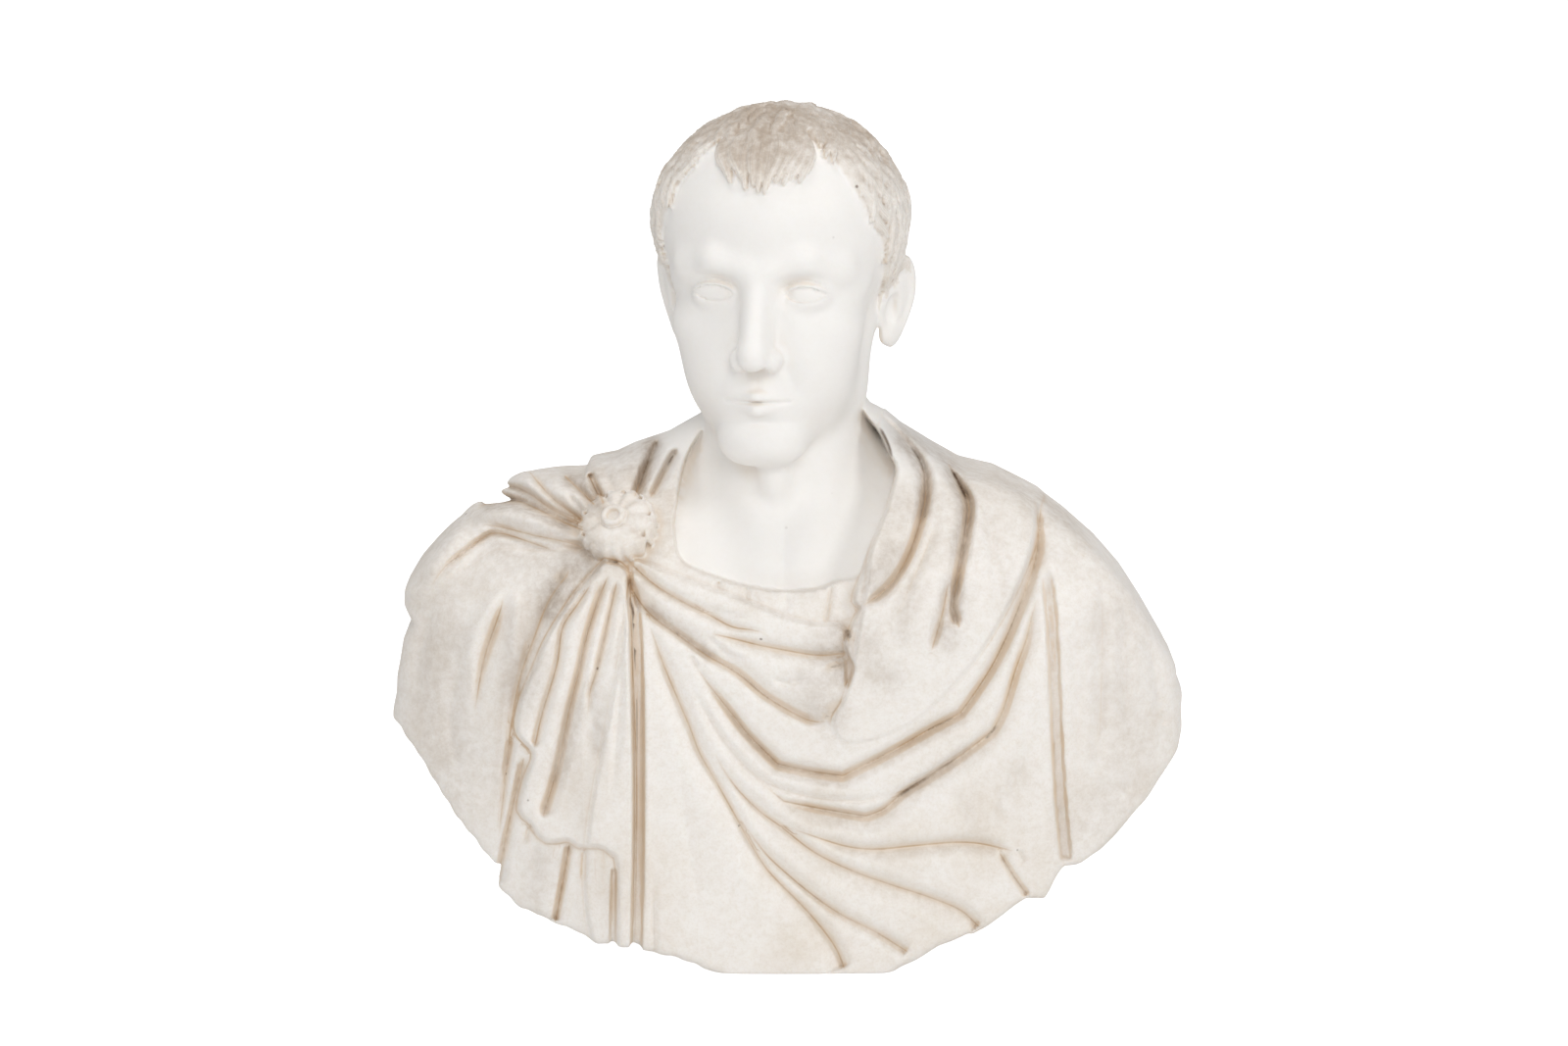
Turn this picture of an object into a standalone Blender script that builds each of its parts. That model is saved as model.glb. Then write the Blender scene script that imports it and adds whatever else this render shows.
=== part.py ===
# Carved marble bust of a draped man: one block of stone, one solid
import math

import bpy
import numpy as np

for old in list(bpy.data.objects):
    bpy.data.objects.remove(old, do_unlink=True)

# Sizes, in millimetres. The floor is z = 0, the front faces -Y and +X is the figure's left.
SHOULDER_WIDTH = 575.0   # across both arms
HEAD_HEIGHT = 250.0      # from under the chin to the crown of the bare skull
BODY = SHOULDER_WIDTH / 575.0
HEAD = HEAD_HEIGHT / 250.0

# Proportions of the body, in 575ths of the width over the shoulders
DRAWN_MM = 0.72          # one drawing unit at the middle of the bust
VIEW_TILT = math.radians(12.0)
VIEW_FAR = 3000.0
AIM_X = 800.0
AIM_Y = 533.0
AIM_UP = 298.4
CHEST_HALF_WIDTH = 284.0
CHEST_FRONT = 118.0
CHEST_BACK = 104.0
CHEST_LEVEL = 185.0      # below this height the chest keeps one section
CHEST_RISE = 165.0
CHEST_POWER = 2.4
FOLD_DEPTH = 1.0         # depth of all folds, against the sizes drawn for them
CUT_ROUND = 9.0          # rounding of the lower cut
SKIN_UNDER_CLOTH = 13.0
HEAD_ORIGIN = (-2.0, 9.0, 363.0)   # under the chin line, on the axis between the ears
HEAD_YAW = math.radians(-10.0)


# Joins and simple forms
def join(a, b, k):
    """The smaller of two fields, rounded over k."""
    h = np.maximum(k - np.abs(a - b), 0.0) / k
    return np.minimum(a, b) - h * h * k * 0.25


def keep(a, b, k):
    """The larger of two fields, rounded over k: what both hold."""
    return -join(-a, -b, k)


def ramp(v, low, high):
    t = np.clip((v - low) / (high - low), 0.0, 1.0)
    return t * t * (3.0 - 2.0 * t)


def egg(x, y, z, rx, ry, rz):
    """Ellipsoid about the origin."""
    k0 = np.sqrt((x / rx) ** 2 + (y / ry) ** 2 + (z / rz) ** 2)
    k1 = np.sqrt((x / rx**2) ** 2 + (y / ry**2) ** 2 + (z / rz**2) ** 2) + 1e-9
    return k0 * (k0 - 1.0) / k1


def cone(x, y, z, a, b, ra, rb):
    """Round cone from a to b with end radii ra and rb."""
    d = [b[i] - a[i] for i in range(3)]
    long2 = d[0] ** 2 + d[1] ** 2 + d[2] ** 2
    px, py, pz = x - a[0], y - a[1], z - a[2]
    t = np.clip((px * d[0] + py * d[1] + pz * d[2]) / long2, 0.0, 1.0)
    gap = np.sqrt((px - t * d[0]) ** 2 + (py - t * d[1]) ** 2 + (pz - t * d[2]) ** 2)
    return gap - (ra + t * (rb - ra))


def pillow(x, y, z, a, b, c, n):
    """Squarish ellipsoid of power n."""
    ux, uy, uz = np.abs(x) / a, np.abs(y) / b, np.abs(z) / c
    r = (ux**n + uy**n + uz**n) ** (1.0 / n) + 1e-6
    gx = (ux / r) ** (n - 1) / a
    gy = (uy / r) ** (n - 1) / b
    gz = (uz / r) ** (n - 1) / c
    return (r - 1.0) / np.sqrt(gx**2 + gy**2 + gz**2 + 1e-12)


# The drawing plane, seen from 12 degrees above the level
def drawn(x, y, z):
    """Where a point of the bust falls on the drawing plane."""
    up = z * math.cos(VIEW_TILT) + y * math.sin(VIEW_TILT)
    away = VIEW_FAR + y * math.cos(VIEW_TILT) - (z - AIM_UP) * math.sin(VIEW_TILT)
    s = VIEW_FAR / away / DRAWN_MM
    return AIM_X + x * s, AIM_Y - (up - AIM_UP) * s


def placed(u, v, y):
    """The point at depth y that is drawn at (u, v)."""
    z = 200.0
    away = VIEW_FAR
    for _ in range(4):
        away = VIEW_FAR + y * math.cos(VIEW_TILT) - (z - AIM_UP) * math.sin(VIEW_TILT)
        up = AIM_UP + (AIM_Y - v) * DRAWN_MM * away / VIEW_FAR
        z = (up - y * math.sin(VIEW_TILT)) / math.cos(VIEW_TILT)
    return (u - AIM_X) * DRAWN_MM * away / VIEW_FAR, z


def smooth_route(points, step):
    """Points along a curve through the given ones, about one step apart."""
    p = np.array(points, float)
    if len(p) == 2:
        count = max(2, int(np.hypot(*(p[1] - p[0])) / step) + 1)
        t = np.linspace(0, 1, count)[:, None]
        return p[0] + (p[1] - p[0]) * t
    ends = np.vstack([2 * p[0] - p[1], p, 2 * p[-1] - p[-2]])
    out = []
    for i in range(len(p) - 1):
        a, b, c, d = ends[i : i + 4]
        count = max(1, int(np.hypot(*(c - b)) / step))
        t = (np.arange(count) / count)[:, None]
        out.append(0.5 * (2 * b + (c - a) * t + (2 * a - 5 * b + 4 * c - d) * t**2
                          + (3 * b - a - 3 * c + d) * t**3))
    out.append(p[-1:])
    return np.vstack(out)


def near_route(route, gu, gv):
    """Signed distance to a route, positive right of the way, and the share of its length."""
    best = np.full(gu.shape, 1e9)
    side = np.zeros(gu.shape)
    share = np.zeros(gu.shape)
    d = np.diff(route, axis=0)
    lengths = np.hypot(d[:, 0], d[:, 1]) + 1e-9
    done = np.concatenate([[0], np.cumsum(lengths)])
    for i in range(len(d)):
        ru, rv = gu - route[i, 0], gv - route[i, 1]
        t = np.clip((ru * d[i, 0] + rv * d[i, 1]) / lengths[i] ** 2, 0, 1)
        gap = np.hypot(ru - t * d[i, 0], rv - t * d[i, 1])
        turn = d[i, 0] * rv - d[i, 1] * ru
        closer = gap < best
        best = np.where(closer, gap, best)
        side = np.where(closer, np.sign(turn), side)
        share = np.where(closer, (done[i] + t * lengths[i]) / done[-1], share)
    return best * np.where(side == 0, 1, side), share


def inside_of(points, gu, gv):
    """True inside the closed outline."""
    hit = np.zeros(gu.shape, bool)
    p = np.array(points, float)
    for a, b in zip(p, np.roll(p, -1, axis=0)):
        if a[1] == b[1]:
            continue
        crosses = (a[1] > gv) != (b[1] > gv)
        at = a[0] + (gv - a[1]) * (b[0] - a[0]) / (b[1] - a[1])
        hit ^= crosses & (gu < at)
    return hit


class Sheet:
    """A height map over the drawing plane, or over any flat rectangle."""

    def __init__(self, u0, v0, u1, v1, step, soft=0.8):
        self.u0, self.v0, self.step = u0, v0, step
        self.soft = soft
        self.u = np.arange(u0, u1 + step, step, dtype=float)
        self.v = np.arange(v0, v1 + step, step, dtype=float)
        self.h = np.zeros((len(self.u), len(self.v)))

    def window(self, points, reach):
        p = np.array(points, float)
        low = (p.min(axis=0) - reach - [self.u0, self.v0]) / self.step
        high = (p.max(axis=0) + reach - [self.u0, self.v0]) / self.step
        i0, j0 = np.maximum(low.astype(int), 0)
        i1, j1 = np.maximum(high.astype(int) + 2, 0)
        part = (slice(i0, i1), slice(j0, j1))
        gu, gv = np.meshgrid(self.u[part[0]], self.v[part[1]], indexing="ij")
        return part, gu, gv

    def at(self, u, v):
        fu = np.clip((u - self.u0) / self.step, 0, len(self.u) - 1.001)
        fv = np.clip((v - self.v0) / self.step, 0, len(self.v) - 1.001)
        i, j = fu.astype(int), fv.astype(int)
        a, b = fu - i, fv - j
        h = self.h
        return ((h[i, j] * (1 - a) + h[i + 1, j] * a) * (1 - b)
                + (h[i, j + 1] * (1 - a) + h[i + 1, j + 1] * a) * b)

    def crease(self, points, deep, right, left, start, end):
        """A valley between two round folds, right and left wide, narrowing and rising towards its ends."""
        route = smooth_route(points, 5.0)
        part, gu, gv = self.window(route, max(right, left) + 4.0)
        if gu.size == 0:
            return
        s, t = near_route(route, gu, gv)
        grown = ramp(t, -0.001, max(start, 0.002)) * ramp(1 - t, -0.001, max(end, 0.002))
        wide = np.maximum(np.where(s > 0, right, left) * (0.35 + 0.65 * grown), 1.5 * self.soft)
        gap = np.sqrt(s * s + self.soft**2) - self.soft * 0.5
        valley = 0.84 * np.clip(1 - gap / wide, 0, 1) ** 2 + 0.16 * np.exp(-gap / 1.8)
        self.h[part] -= FOLD_DEPTH * deep * grown * valley

    def ridge(self, points, high, wide, fade=0.3):
        route = smooth_route(points, 6.0)
        part, gu, gv = self.window(route, 3.0 * wide)
        if gu.size == 0:
            return
        s, t = near_route(route, gu, gv)
        ends = ramp(t, -0.001, max(fade, 0.002)) * ramp(1 - t, -0.001, max(fade, 0.002))
        self.h[part] += high * ends * np.exp(-((s / wide) ** 2))

    def slot(self, points, deep, half, edge, fade=0.08):
        """A deep carved groove with steep sides and a narrow floor."""
        route = smooth_route(points, 6.0)
        edge = max(edge, self.soft)
        part, gu, gv = self.window(route, half + edge * 2)
        if gu.size == 0:
            return
        s, t = near_route(route, gu, gv)
        ends = ramp(t, -0.001, max(fade, 0.002)) * ramp(1 - t, -0.001, max(0.3 * fade, 0.002))
        self.h[part] -= FOLD_DEPTH * deep * ends * (1 - ramp(np.abs(s), half * (0.35 + 0.65 * ends),
                                                             half + edge))

    def raised(self, points, high, edge, thick_at=None, thin_at=None, loss=0.0):
        """A layer lying on the one below, with a steep edge, thinner by a share towards thin_at."""
        route = smooth_route(list(points) + [points[0]], 6.0)
        edge = max(edge, self.soft)
        part, gu, gv = self.window(route, edge * 2 + 12)
        s, _ = near_route(route, gu, gv)
        gap = np.abs(s) * np.where(inside_of(route, gu, gv), 1, -1)
        tall = high
        if thick_at is not None:
            du, dv = thin_at[0] - thick_at[0], thin_at[1] - thick_at[1]
            along = ((gu - thick_at[0]) * du + (gv - thick_at[1]) * dv) / (du * du + dv * dv)
            tall = high * (1 - loss * ramp(along, 0.0, 1.0))
        self.h[part] += tall * ramp(gap, -edge * 0.5, edge)


# Outline of the body below the head, on the drawing plane
SHOULDER_LEFT = [(716, 425), (682, 441), (646, 452), (629, 461), (602, 464), (598, 478), (566, 477),
                 (533, 477), (504, 487), (477, 502), (467, 524), (449, 544), (431, 565), (417, 589), (415, 604),
                 (427, 617), (417, 636), (412, 667), (405, 718)]
CUT_LEFT = [(405, 718), (409, 737), (441, 783), (466, 825), (487, 854), (511, 881), (509, 899), (533, 922),
            (569, 937), (605, 955), (651, 961), (711, 979)]
CUT_FOOT = [(711, 979), (750, 984), (778, 988), (824, 987), (863, 982), (899, 979)]
CUT_RIGHT = [(899, 979), (959, 959), (993, 946), (1032, 919), (1047, 910), (1064, 910), (1085, 878),
             (1101, 873), (1121, 859), (1157, 820), (1184, 783), (1202, 757)]
SHOULDER_RIGHT = [(1202, 757), (1203, 727), (1201, 694), (1194, 662), (1167, 616), (1145, 582), (1118, 550),
                  (1086, 520), (1059, 500), (1014, 477), (980, 470), (951, 453), (920, 433), (900, 415),
                  (889, 409)]


def lip_depth(u):
    """Depth of the front lip of the lower cut."""
    return -112.0 * math.sqrt(max(0.0, 1.0 - ((u - AIM_X) / 408.0) ** 2))


def outline_sheet(step):
    """Signed distance, negative inside, to the outline of the body over X and Z."""
    points = []
    for route in (SHOULDER_RIGHT[::-1], CUT_RIGHT[::-1], CUT_FOOT[::-1], CUT_LEFT[::-1],
                  SHOULDER_LEFT[::-1]):
        shoulder = route in (SHOULDER_RIGHT[::-1], SHOULDER_LEFT[::-1])
        for u, v in route[:-1]:
            x, z = placed(u, v, 10.0 if shoulder else lip_depth(u))
            if route == CUT_FOOT[::-1]:
                z = min(z, 0.0) - 6.0
            points.append((x, z))
    points += [(-62.0, 386.0), (-62.0, 470.0), (64.0, 470.0)]
    sheet = Sheet(-330.0, -40.0, 330.0, 480.0, step)
    route = np.array(points + points[:1])
    gu, gv = np.meshgrid(sheet.u, sheet.v, indexing="ij")
    s, _ = near_route(route, gu, gv)
    sheet.h = np.abs(s) * np.where(inside_of(points, gu, gv), -1, 1)
    return sheet


# Folds of the tunic and the cloak, on the drawing plane
NECKLINE = [(716, 440), (702, 462), (694, 490), (689, 522), (688, 540), (696, 571), (733, 588), (766, 597),
            (800, 602), (836, 599), (853, 592), (876, 587), (885, 563), (895, 542), (906, 514), (915, 479),
            (909, 465), (898, 442), (886, 428), (877, 414), (874, 400), (874, 260), (723, 260), (723, 425)]
BUNDLE = [(617, 571), (600, 590), (582, 612), (558, 650), (545, 680), (530, 717), (527, 746), (544, 768),
          (535, 795), (529, 826), (540, 838), (549, 852), (557, 858), (569, 858), (580, 856), (590, 863),
          (604, 863), (617, 865), (625, 872), (630, 886), (631, 990), (643, 990), (646, 910), (647, 814),
          (646, 756), (643, 680), (641, 620), (638, 580)]
CLOAK_RIGHT = [(874, 380), (877, 414), (886, 428), (898, 442), (909, 465), (915, 479), (906, 514),
               (895, 542),
               (884, 575), (873, 602), (871, 613), (878, 620), (871, 633), (867, 647), (862, 655),
               (865, 668),
               (872, 681), (865, 700), (860, 717), (850, 734), (856, 752), (865, 758), (881, 756),
               (907, 748),
               (935, 734), (963, 709), (991, 678), (1022, 630), (1046, 580), (1058, 530), (1060, 400)]
CLOAK_CHEST = [(645, 568), (696, 588), (733, 602), (763, 613), (803, 629), (834, 636), (856, 636),
               (862, 642), (866, 700), (884, 600), (930, 380), (1240, 380), (1240, 1010), (640, 1010)]
GATHERS = [(468, 520), (470, 500), (535, 470), (600, 480), (604, 545), (560, 556), (500, 556), (450, 600),
           (420, 612), (410, 590)]


def fold_sheet(step, soft):
    sheet = Sheet(390.0, 390.0, 1216.0, 1004.0, step, soft)
    # Broad layers
    sheet.h += 4.0
    sheet.raised(CLOAK_CHEST, 6.0, 3.0)
    sheet.raised(BUNDLE, 12.0, 2.5, (610, 850), (630, 975), 0.55)
    sheet.raised(CLOAK_RIGHT, 10.0, 2.5, (885, 650), (915, 745), 0.72)
    sheet.raised(GATHERS, 5.0, 6.0)
    shoulder_folds(sheet)
    bundle_folds(sheet)
    chest_folds(sheet)
    right_folds(sheet)
    return sheet


def shoulder_folds(sheet):
    """Gathers that fan out from the brooch, and the sleeve below them."""
    for points, high, wide in (
        ([(472, 528), (492, 524), (520, 526), (550, 534), (585, 546)], 5.0, 11.0),
        ([(482, 532), (462, 548), (442, 572), (424, 596)], 6.0, 13.0),
        ([(500, 484), (530, 486), (556, 500), (580, 520)], 4.0, 11.0),
    ):
        sheet.ridge(points, high, wide)
    for points, deep, right, left, start, end in (
        ([(537, 477), (559, 503), (573, 515), (594, 530)], 10, 13, 15, 0.3, 0.0),
        ([(577, 500), (587, 512), (597, 525)], 5, 7, 7, 0.4, 0.0),
        ([(500, 494), (526, 497), (543, 505), (563, 519), (592, 533)], 9, 13, 13, 0.4, 0.0),
        ([(480, 522), (497, 513), (514, 510), (531, 511), (551, 520), (575, 532), (594, 540)], 14, 12, 16,
         0.3, 0.0),
        ([(484, 534), (506, 536), (523, 540), (547, 546), (580, 553), (600, 560)], 8, 12, 18, 0.3, 0.1),
        ([(584, 568), (545, 554), (508, 543), (490, 550), (475, 561), (467, 567), (451, 581), (427, 617)],
         13, 8, 20, 0.35, 0.0),
        ([(575, 484), (590, 498), (606, 514)], 9, 8, 8, 0.1, 0.0),
        ([(600, 482), (607, 497), (616, 512)], 9, 7, 9, 0.1, 0.0),
        # The sleeve
        ([(514, 600), (512, 616), (505, 638), (496, 664), (490, 690), (483, 735)], 11, 11, 22, 0.35, 0.5),
        ([(517, 655), (514, 720), (508, 790), (501, 855)], 1.6, 5, 5, 0.3, 0.3),
        ([(482, 640), (466, 690), (460, 740), (470, 800)], 4, 20, 20, 0.4, 0.4),
        ([(446, 612), (430, 660), (424, 715)], 4, 18, 18, 0.3, 0.4),
        ([(580, 584), (560, 612), (545, 650), (531, 690), (522, 735), (516, 790), (508, 860)], 10, 34, 9,
         0.15, 0.2),
        # Cloth between the brooch and the neck
        ([(674, 443), (665, 462), (655, 485), (648, 505)], 13, 8, 14, 0.2, 0.0),
        ([(692, 455), (684, 468), (674, 487), (663, 508)], 11, 7, 9, 0.15, 0.1),
        ([(722, 431), (712, 453), (700, 474), (692, 500)], 5, 5, 6, 0.2, 0.3),
        ([(612, 470), (622, 490), (628, 506)], 3, 10, 10, 0.3, 0.1),
    ):
        sheet.crease(points, deep, right, left, start, end)
    sheet.ridge([(520, 592), (504, 612), (486, 645), (470, 690)], 4.0, 9.0)
    sheet.ridge([(521, 592), (527, 612), (527, 645), (523, 690)], 4.0, 8.0)


def bundle_folds(sheet):
    """The bundle that hangs from the brooch, its hem, and what shows under it."""
    for points, deep, right, left, start, end in (
        ([(604, 594), (590, 615), (574, 640), (568, 678), (553, 728), (545, 764)], 9, 12, 9, 0.1, 0.05),
        ([(622, 583), (608, 618), (597, 655), (591, 683), (580, 728), (568, 785), (553, 836)], 13, 13, 14,
         0.1, 0.05),
        ([(630, 590), (622, 625), (616, 652), (608, 686), (602, 706), (598, 745)], 10, 10, 12, 0.1, 0.5),
        ([(604, 715), (607, 755), (613, 800)], 4, 14, 12, 0.4, 0.5),
        ([(636, 600), (634, 680), (629, 760), (623, 830)], 4, 9, 9, 0.1, 0.3),
        ([(613, 577), (590, 602), (572, 628)], 6, 8, 7, 0.1, 0.4),
        # Below the hem
        ([(581, 860), (574, 900), (567, 938)], 11, 8, 7, 0.05, 0.0),
        ([(597, 867), (596, 884), (595, 908)], 5, 8, 8, 0.05, 0.5),
        ([(524, 752), (519, 774), (514, 796)], 7, 8, 6, 0.1, 0.4),
        ([(535, 770), (525, 812), (513, 869), (508, 898)], 10, 7, 12, 0.1, 0.0),
        ([(542, 840), (536, 864)], 6, 6, 6, 0.05, 0.4),
        ([(550, 862), (543, 892)], 4, 9, 9, 0.2, 0.4),
        ([(669, 888), (667, 925), (668, 970)], 4, 5, 5, 0.4, 0.0),
    ):
        sheet.crease(points, deep, right, left, start, end)
    sheet.slot([(627, 884), (626, 920), (625, 985)], 9.0, 1.6, 2.5, 0.05)
    sheet.slot([(641, 598), (647, 618), (650, 680), (651, 760), (651, 850), (650, 930), (648, 990)],
               13.0, 3.8, 3.0, 0.05)
    sheet.ridge([(661, 640), (660, 760), (659, 960)], 2.5, 6.0)


def chest_folds(sheet):
    """The edge of the cloak under the neck, the swags over the chest and the folds to the lower cut."""
    for points, deep, right, left, start, end in (
        # The tunic's yoke
        ([(733, 590), (733, 605)], 5, 5, 5, 0.3, 0.2),
        ([(760, 596), (763, 614)], 5, 6, 6, 0.3, 0.2),
        ([(800, 603), (803, 624)], 3, 8, 8, 0.3, 0.2),
        ([(850, 594), (842, 636)], 6, 6, 6, 0.2, 0.1),
        # Under the edge of the cloak
        ([(644, 575), (668, 596), (696, 613), (724, 627), (747, 639), (766, 642), (790, 647)], 9, 10, 11,
         0.05, 0.3),
        ([(712, 616), (730, 622), (747, 627), (772, 627)], 4, 6, 6, 0.3, 0.4),
        ([(716, 644), (744, 650), (772, 657), (797, 662), (834, 668), (862, 666)], 10, 17, 13, 0.3, 0.0),
        ([(718, 647), (733, 658), (747, 668), (768, 672)], 5, 8, 6, 0.2, 0.4),
        ([(638, 586), (651, 611), (668, 630), (696, 650), (721, 668), (752, 686), (780, 709), (808, 726),
          (828, 735), (846, 736)], 12, 9, 22, 0.05, 0.1),
        ([(784, 690), (803, 696), (824, 690)], 5, 8, 5, 0.3, 0.3),
        ([(704, 667), (712, 682)], 5, 5, 5, 0.2, 0.3),
        # Swags, straight between their corners
        ([(702, 668), (721, 695), (741, 720), (763, 748), (794, 779), (794, 779), (825, 786), (860, 791),
          (860, 791), (909, 766), (951, 742), (980, 727), (980, 727), (999, 700), (1016, 672), (1033, 636),
          (1047, 599), (1055, 577), (1060, 548), (1058, 512)], 15, 17, 12, 0.15, 0.1),
        ([(700, 690), (721, 728), (741, 759), (766, 787), (786, 800), (814, 810), (848, 816), (881, 816),
          (909, 810), (937, 801)], 6, 10, 9, 0.25, 0.3),
        ([(768, 790), (784, 804), (800, 817), (800, 817), (836, 824), (883, 832), (883, 832), (901, 825),
          (923, 807), (951, 790), (982, 769), (1013, 745), (1013, 745), (1024, 723), (1036, 684),
          (1047, 653), (1054, 625), (1062, 600)], 15, 26, 10, 0.2, 0.15),
        # Folds that run down to the cut
        ([(660, 630), (676, 675), (690, 709), (704, 742), (714, 768), (733, 801), (752, 835), (763, 855),
          (780, 883), (797, 902), (820, 925), (839, 947), (853, 967), (861, 986)], 11, 28, 14, 0.15, 0.0),
        ([(756, 836), (780, 869), (803, 891), (831, 914), (859, 933), (893, 950), (925, 970)], 9, 13, 13,
         0.3, 0.0),
        ([(722, 750), (735, 779), (752, 804), (775, 827), (797, 843), (831, 869), (870, 888), (909, 902),
          (949, 915), (980, 928), (998, 944)], 10, 24, 14, 0.3, 0.0),
        ([(798, 841), (831, 853), (864, 863), (893, 866), (926, 863), (971, 859), (999, 860), (1027, 866),
          (1041, 869)], 9, 20, 13, 0.3, 0.15),
        ([(1018, 866), (1033, 891), (1048, 912)], 8, 9, 7, 0.2, 0.0),
        ([(1040, 868), (1046, 881)], 5, 5, 5, 0.1, 0.3),
        ([(690, 760), (700, 840), (714, 930)], 2.5, 26, 26, 0.4, 0.3),
        ([(1060, 700), (1052, 760), (1036, 800), (1020, 826)], 4, 16, 18, 0.4, 0.4),
        ([(985, 800), (975, 822), (990, 842)], 2.5, 14, 14, 0.4, 0.4),
    ):
        sheet.crease(points, deep, right, left, start, end)


def right_folds(sheet):
    """Gathers over the right-hand shoulder and the upright folds over the arm."""
    for points, deep, right, left, start, end in (
        ([(893, 417), (914, 437), (933, 459), (944, 481), (944, 510), (936, 542), (923, 574), (904, 600),
          (876, 621)], 15, 12, 12, 0.1, 0.1),
        ([(962, 463), (978, 491), (989, 514), (985, 549), (978, 587), (973, 619), (979, 640)], 17, 14, 10,
         0.15, 0.05),
        ([(968, 590), (963, 620), (957, 642), (950, 666)], 9, 10, 9, 0.3, 0.2),
        ([(958, 512), (949, 549), (932, 590), (914, 630), (905, 660)], 6, 14, 10, 0.3, 0.4),
        ([(1003, 512), (1012, 545), (1016, 575), (1024, 604)], 4, 14, 12, 0.3, 0.4),
        ([(930, 640), (912, 672), (890, 705)], 3, 16, 16, 0.4, 0.4),
        ([(1045, 494), (1056, 512), (1060, 540)], 6, 8, 14, 0.2, 0.2),
        # Over the arm
        ([(1124, 580), (1125, 650), (1124, 700), (1122, 748), (1114, 810)], 6, 14, 20, 0.3, 0.4),
        ([(1145, 600), (1148, 650), (1148, 700), (1150, 750)], 5, 14, 14, 0.4, 0.4),
        ([(1168, 640), (1180, 690), (1182, 745)], 4, 12, 14, 0.4, 0.4),
        ([(1096, 630), (1099, 720), (1100, 810)], 3, 12, 14, 0.4, 0.4),
    ):
        sheet.crease(points, deep, right, left, start, end)
    sheet.slot([(1066, 574), (1072, 619), (1075, 667), (1077, 715), (1079, 763), (1082, 812), (1088, 880)],
               9.0, 4.0, 3.6, 0.1)


def neckline_sheet(step):
    """How far the cloth is cut back where the neck and the upper chest show."""
    sheet = Sheet(600.0, 200.0, 1000.0, 640.0, step)
    sheet.raised(NECKLINE, 42.0, 3.0)
    return sheet


# Body, neck and brooch
def body_form(x, y, z):
    behind = CHEST_BACK - 26.0 * (1 - ramp(z, -10.0, 190.0))
    deep = np.where(y > 0, y * (CHEST_FRONT / behind), y)
    rise = np.maximum(z - CHEST_LEVEL, 0.0)
    form = pillow(x, deep, rise, CHEST_HALF_WIDTH, CHEST_FRONT, CHEST_RISE, CHEST_POWER)
    ax = np.abs(x)
    form = join(form, cone(ax, y, z, (38.0, 16.0, 350.0), (150.0, 10.0, 294.0), 40.0, 44.0), 40.0)
    form = join(form, cone(ax, y, z, (214.0, 2.0, 230.0), (218.0, -4.0, 120.0), 62.0, 60.0), 40.0)
    # Broad folds of the plain back
    back = ramp(y, 20.0, 70.0)
    for x0, lean, deep_mm, wide in ((-150.0, 0.25, 6.0, 26.0), (-60.0, 0.1, 5.0, 24.0),
                                    (40.0, -0.12, 6.0, 26.0), (135.0, -0.3, 6.0, 28.0)):
        line = x - x0 - lean * (z - 200.0) - 12.0 * np.sin(z / 90.0)
        form = form + back * deep_mm * np.exp(-np.abs(line) / wide) * 1.4
    return form


def neck_form(x, y, z):
    form = cone(x, y, z, (0.0, 18.0, 455.0), (-1.0, 2.0, 330.0), 56.0, 62.0)
    form = join(form, cone(np.abs(x), y, z, (52.0, 26.0, 445.0), (12.0, -74.0, 290.0), 15.0, 8.0), 9.0)
    form = join(form, egg(x + 7.0, y + 60.0, z - 352.0, 10.0, 9.0, 15.0), 11.0)
    return form


BROOCH_AT = (-119.0, -84.0, 322.0)
BROOCH_OUT = (-0.22, -0.66, 0.72)
BROOCH_RADIUS = 28.0
BROOCH_PETALS = (-148, -22, 20, 58, 90, 122, 168)   # degrees at which the petals part


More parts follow.
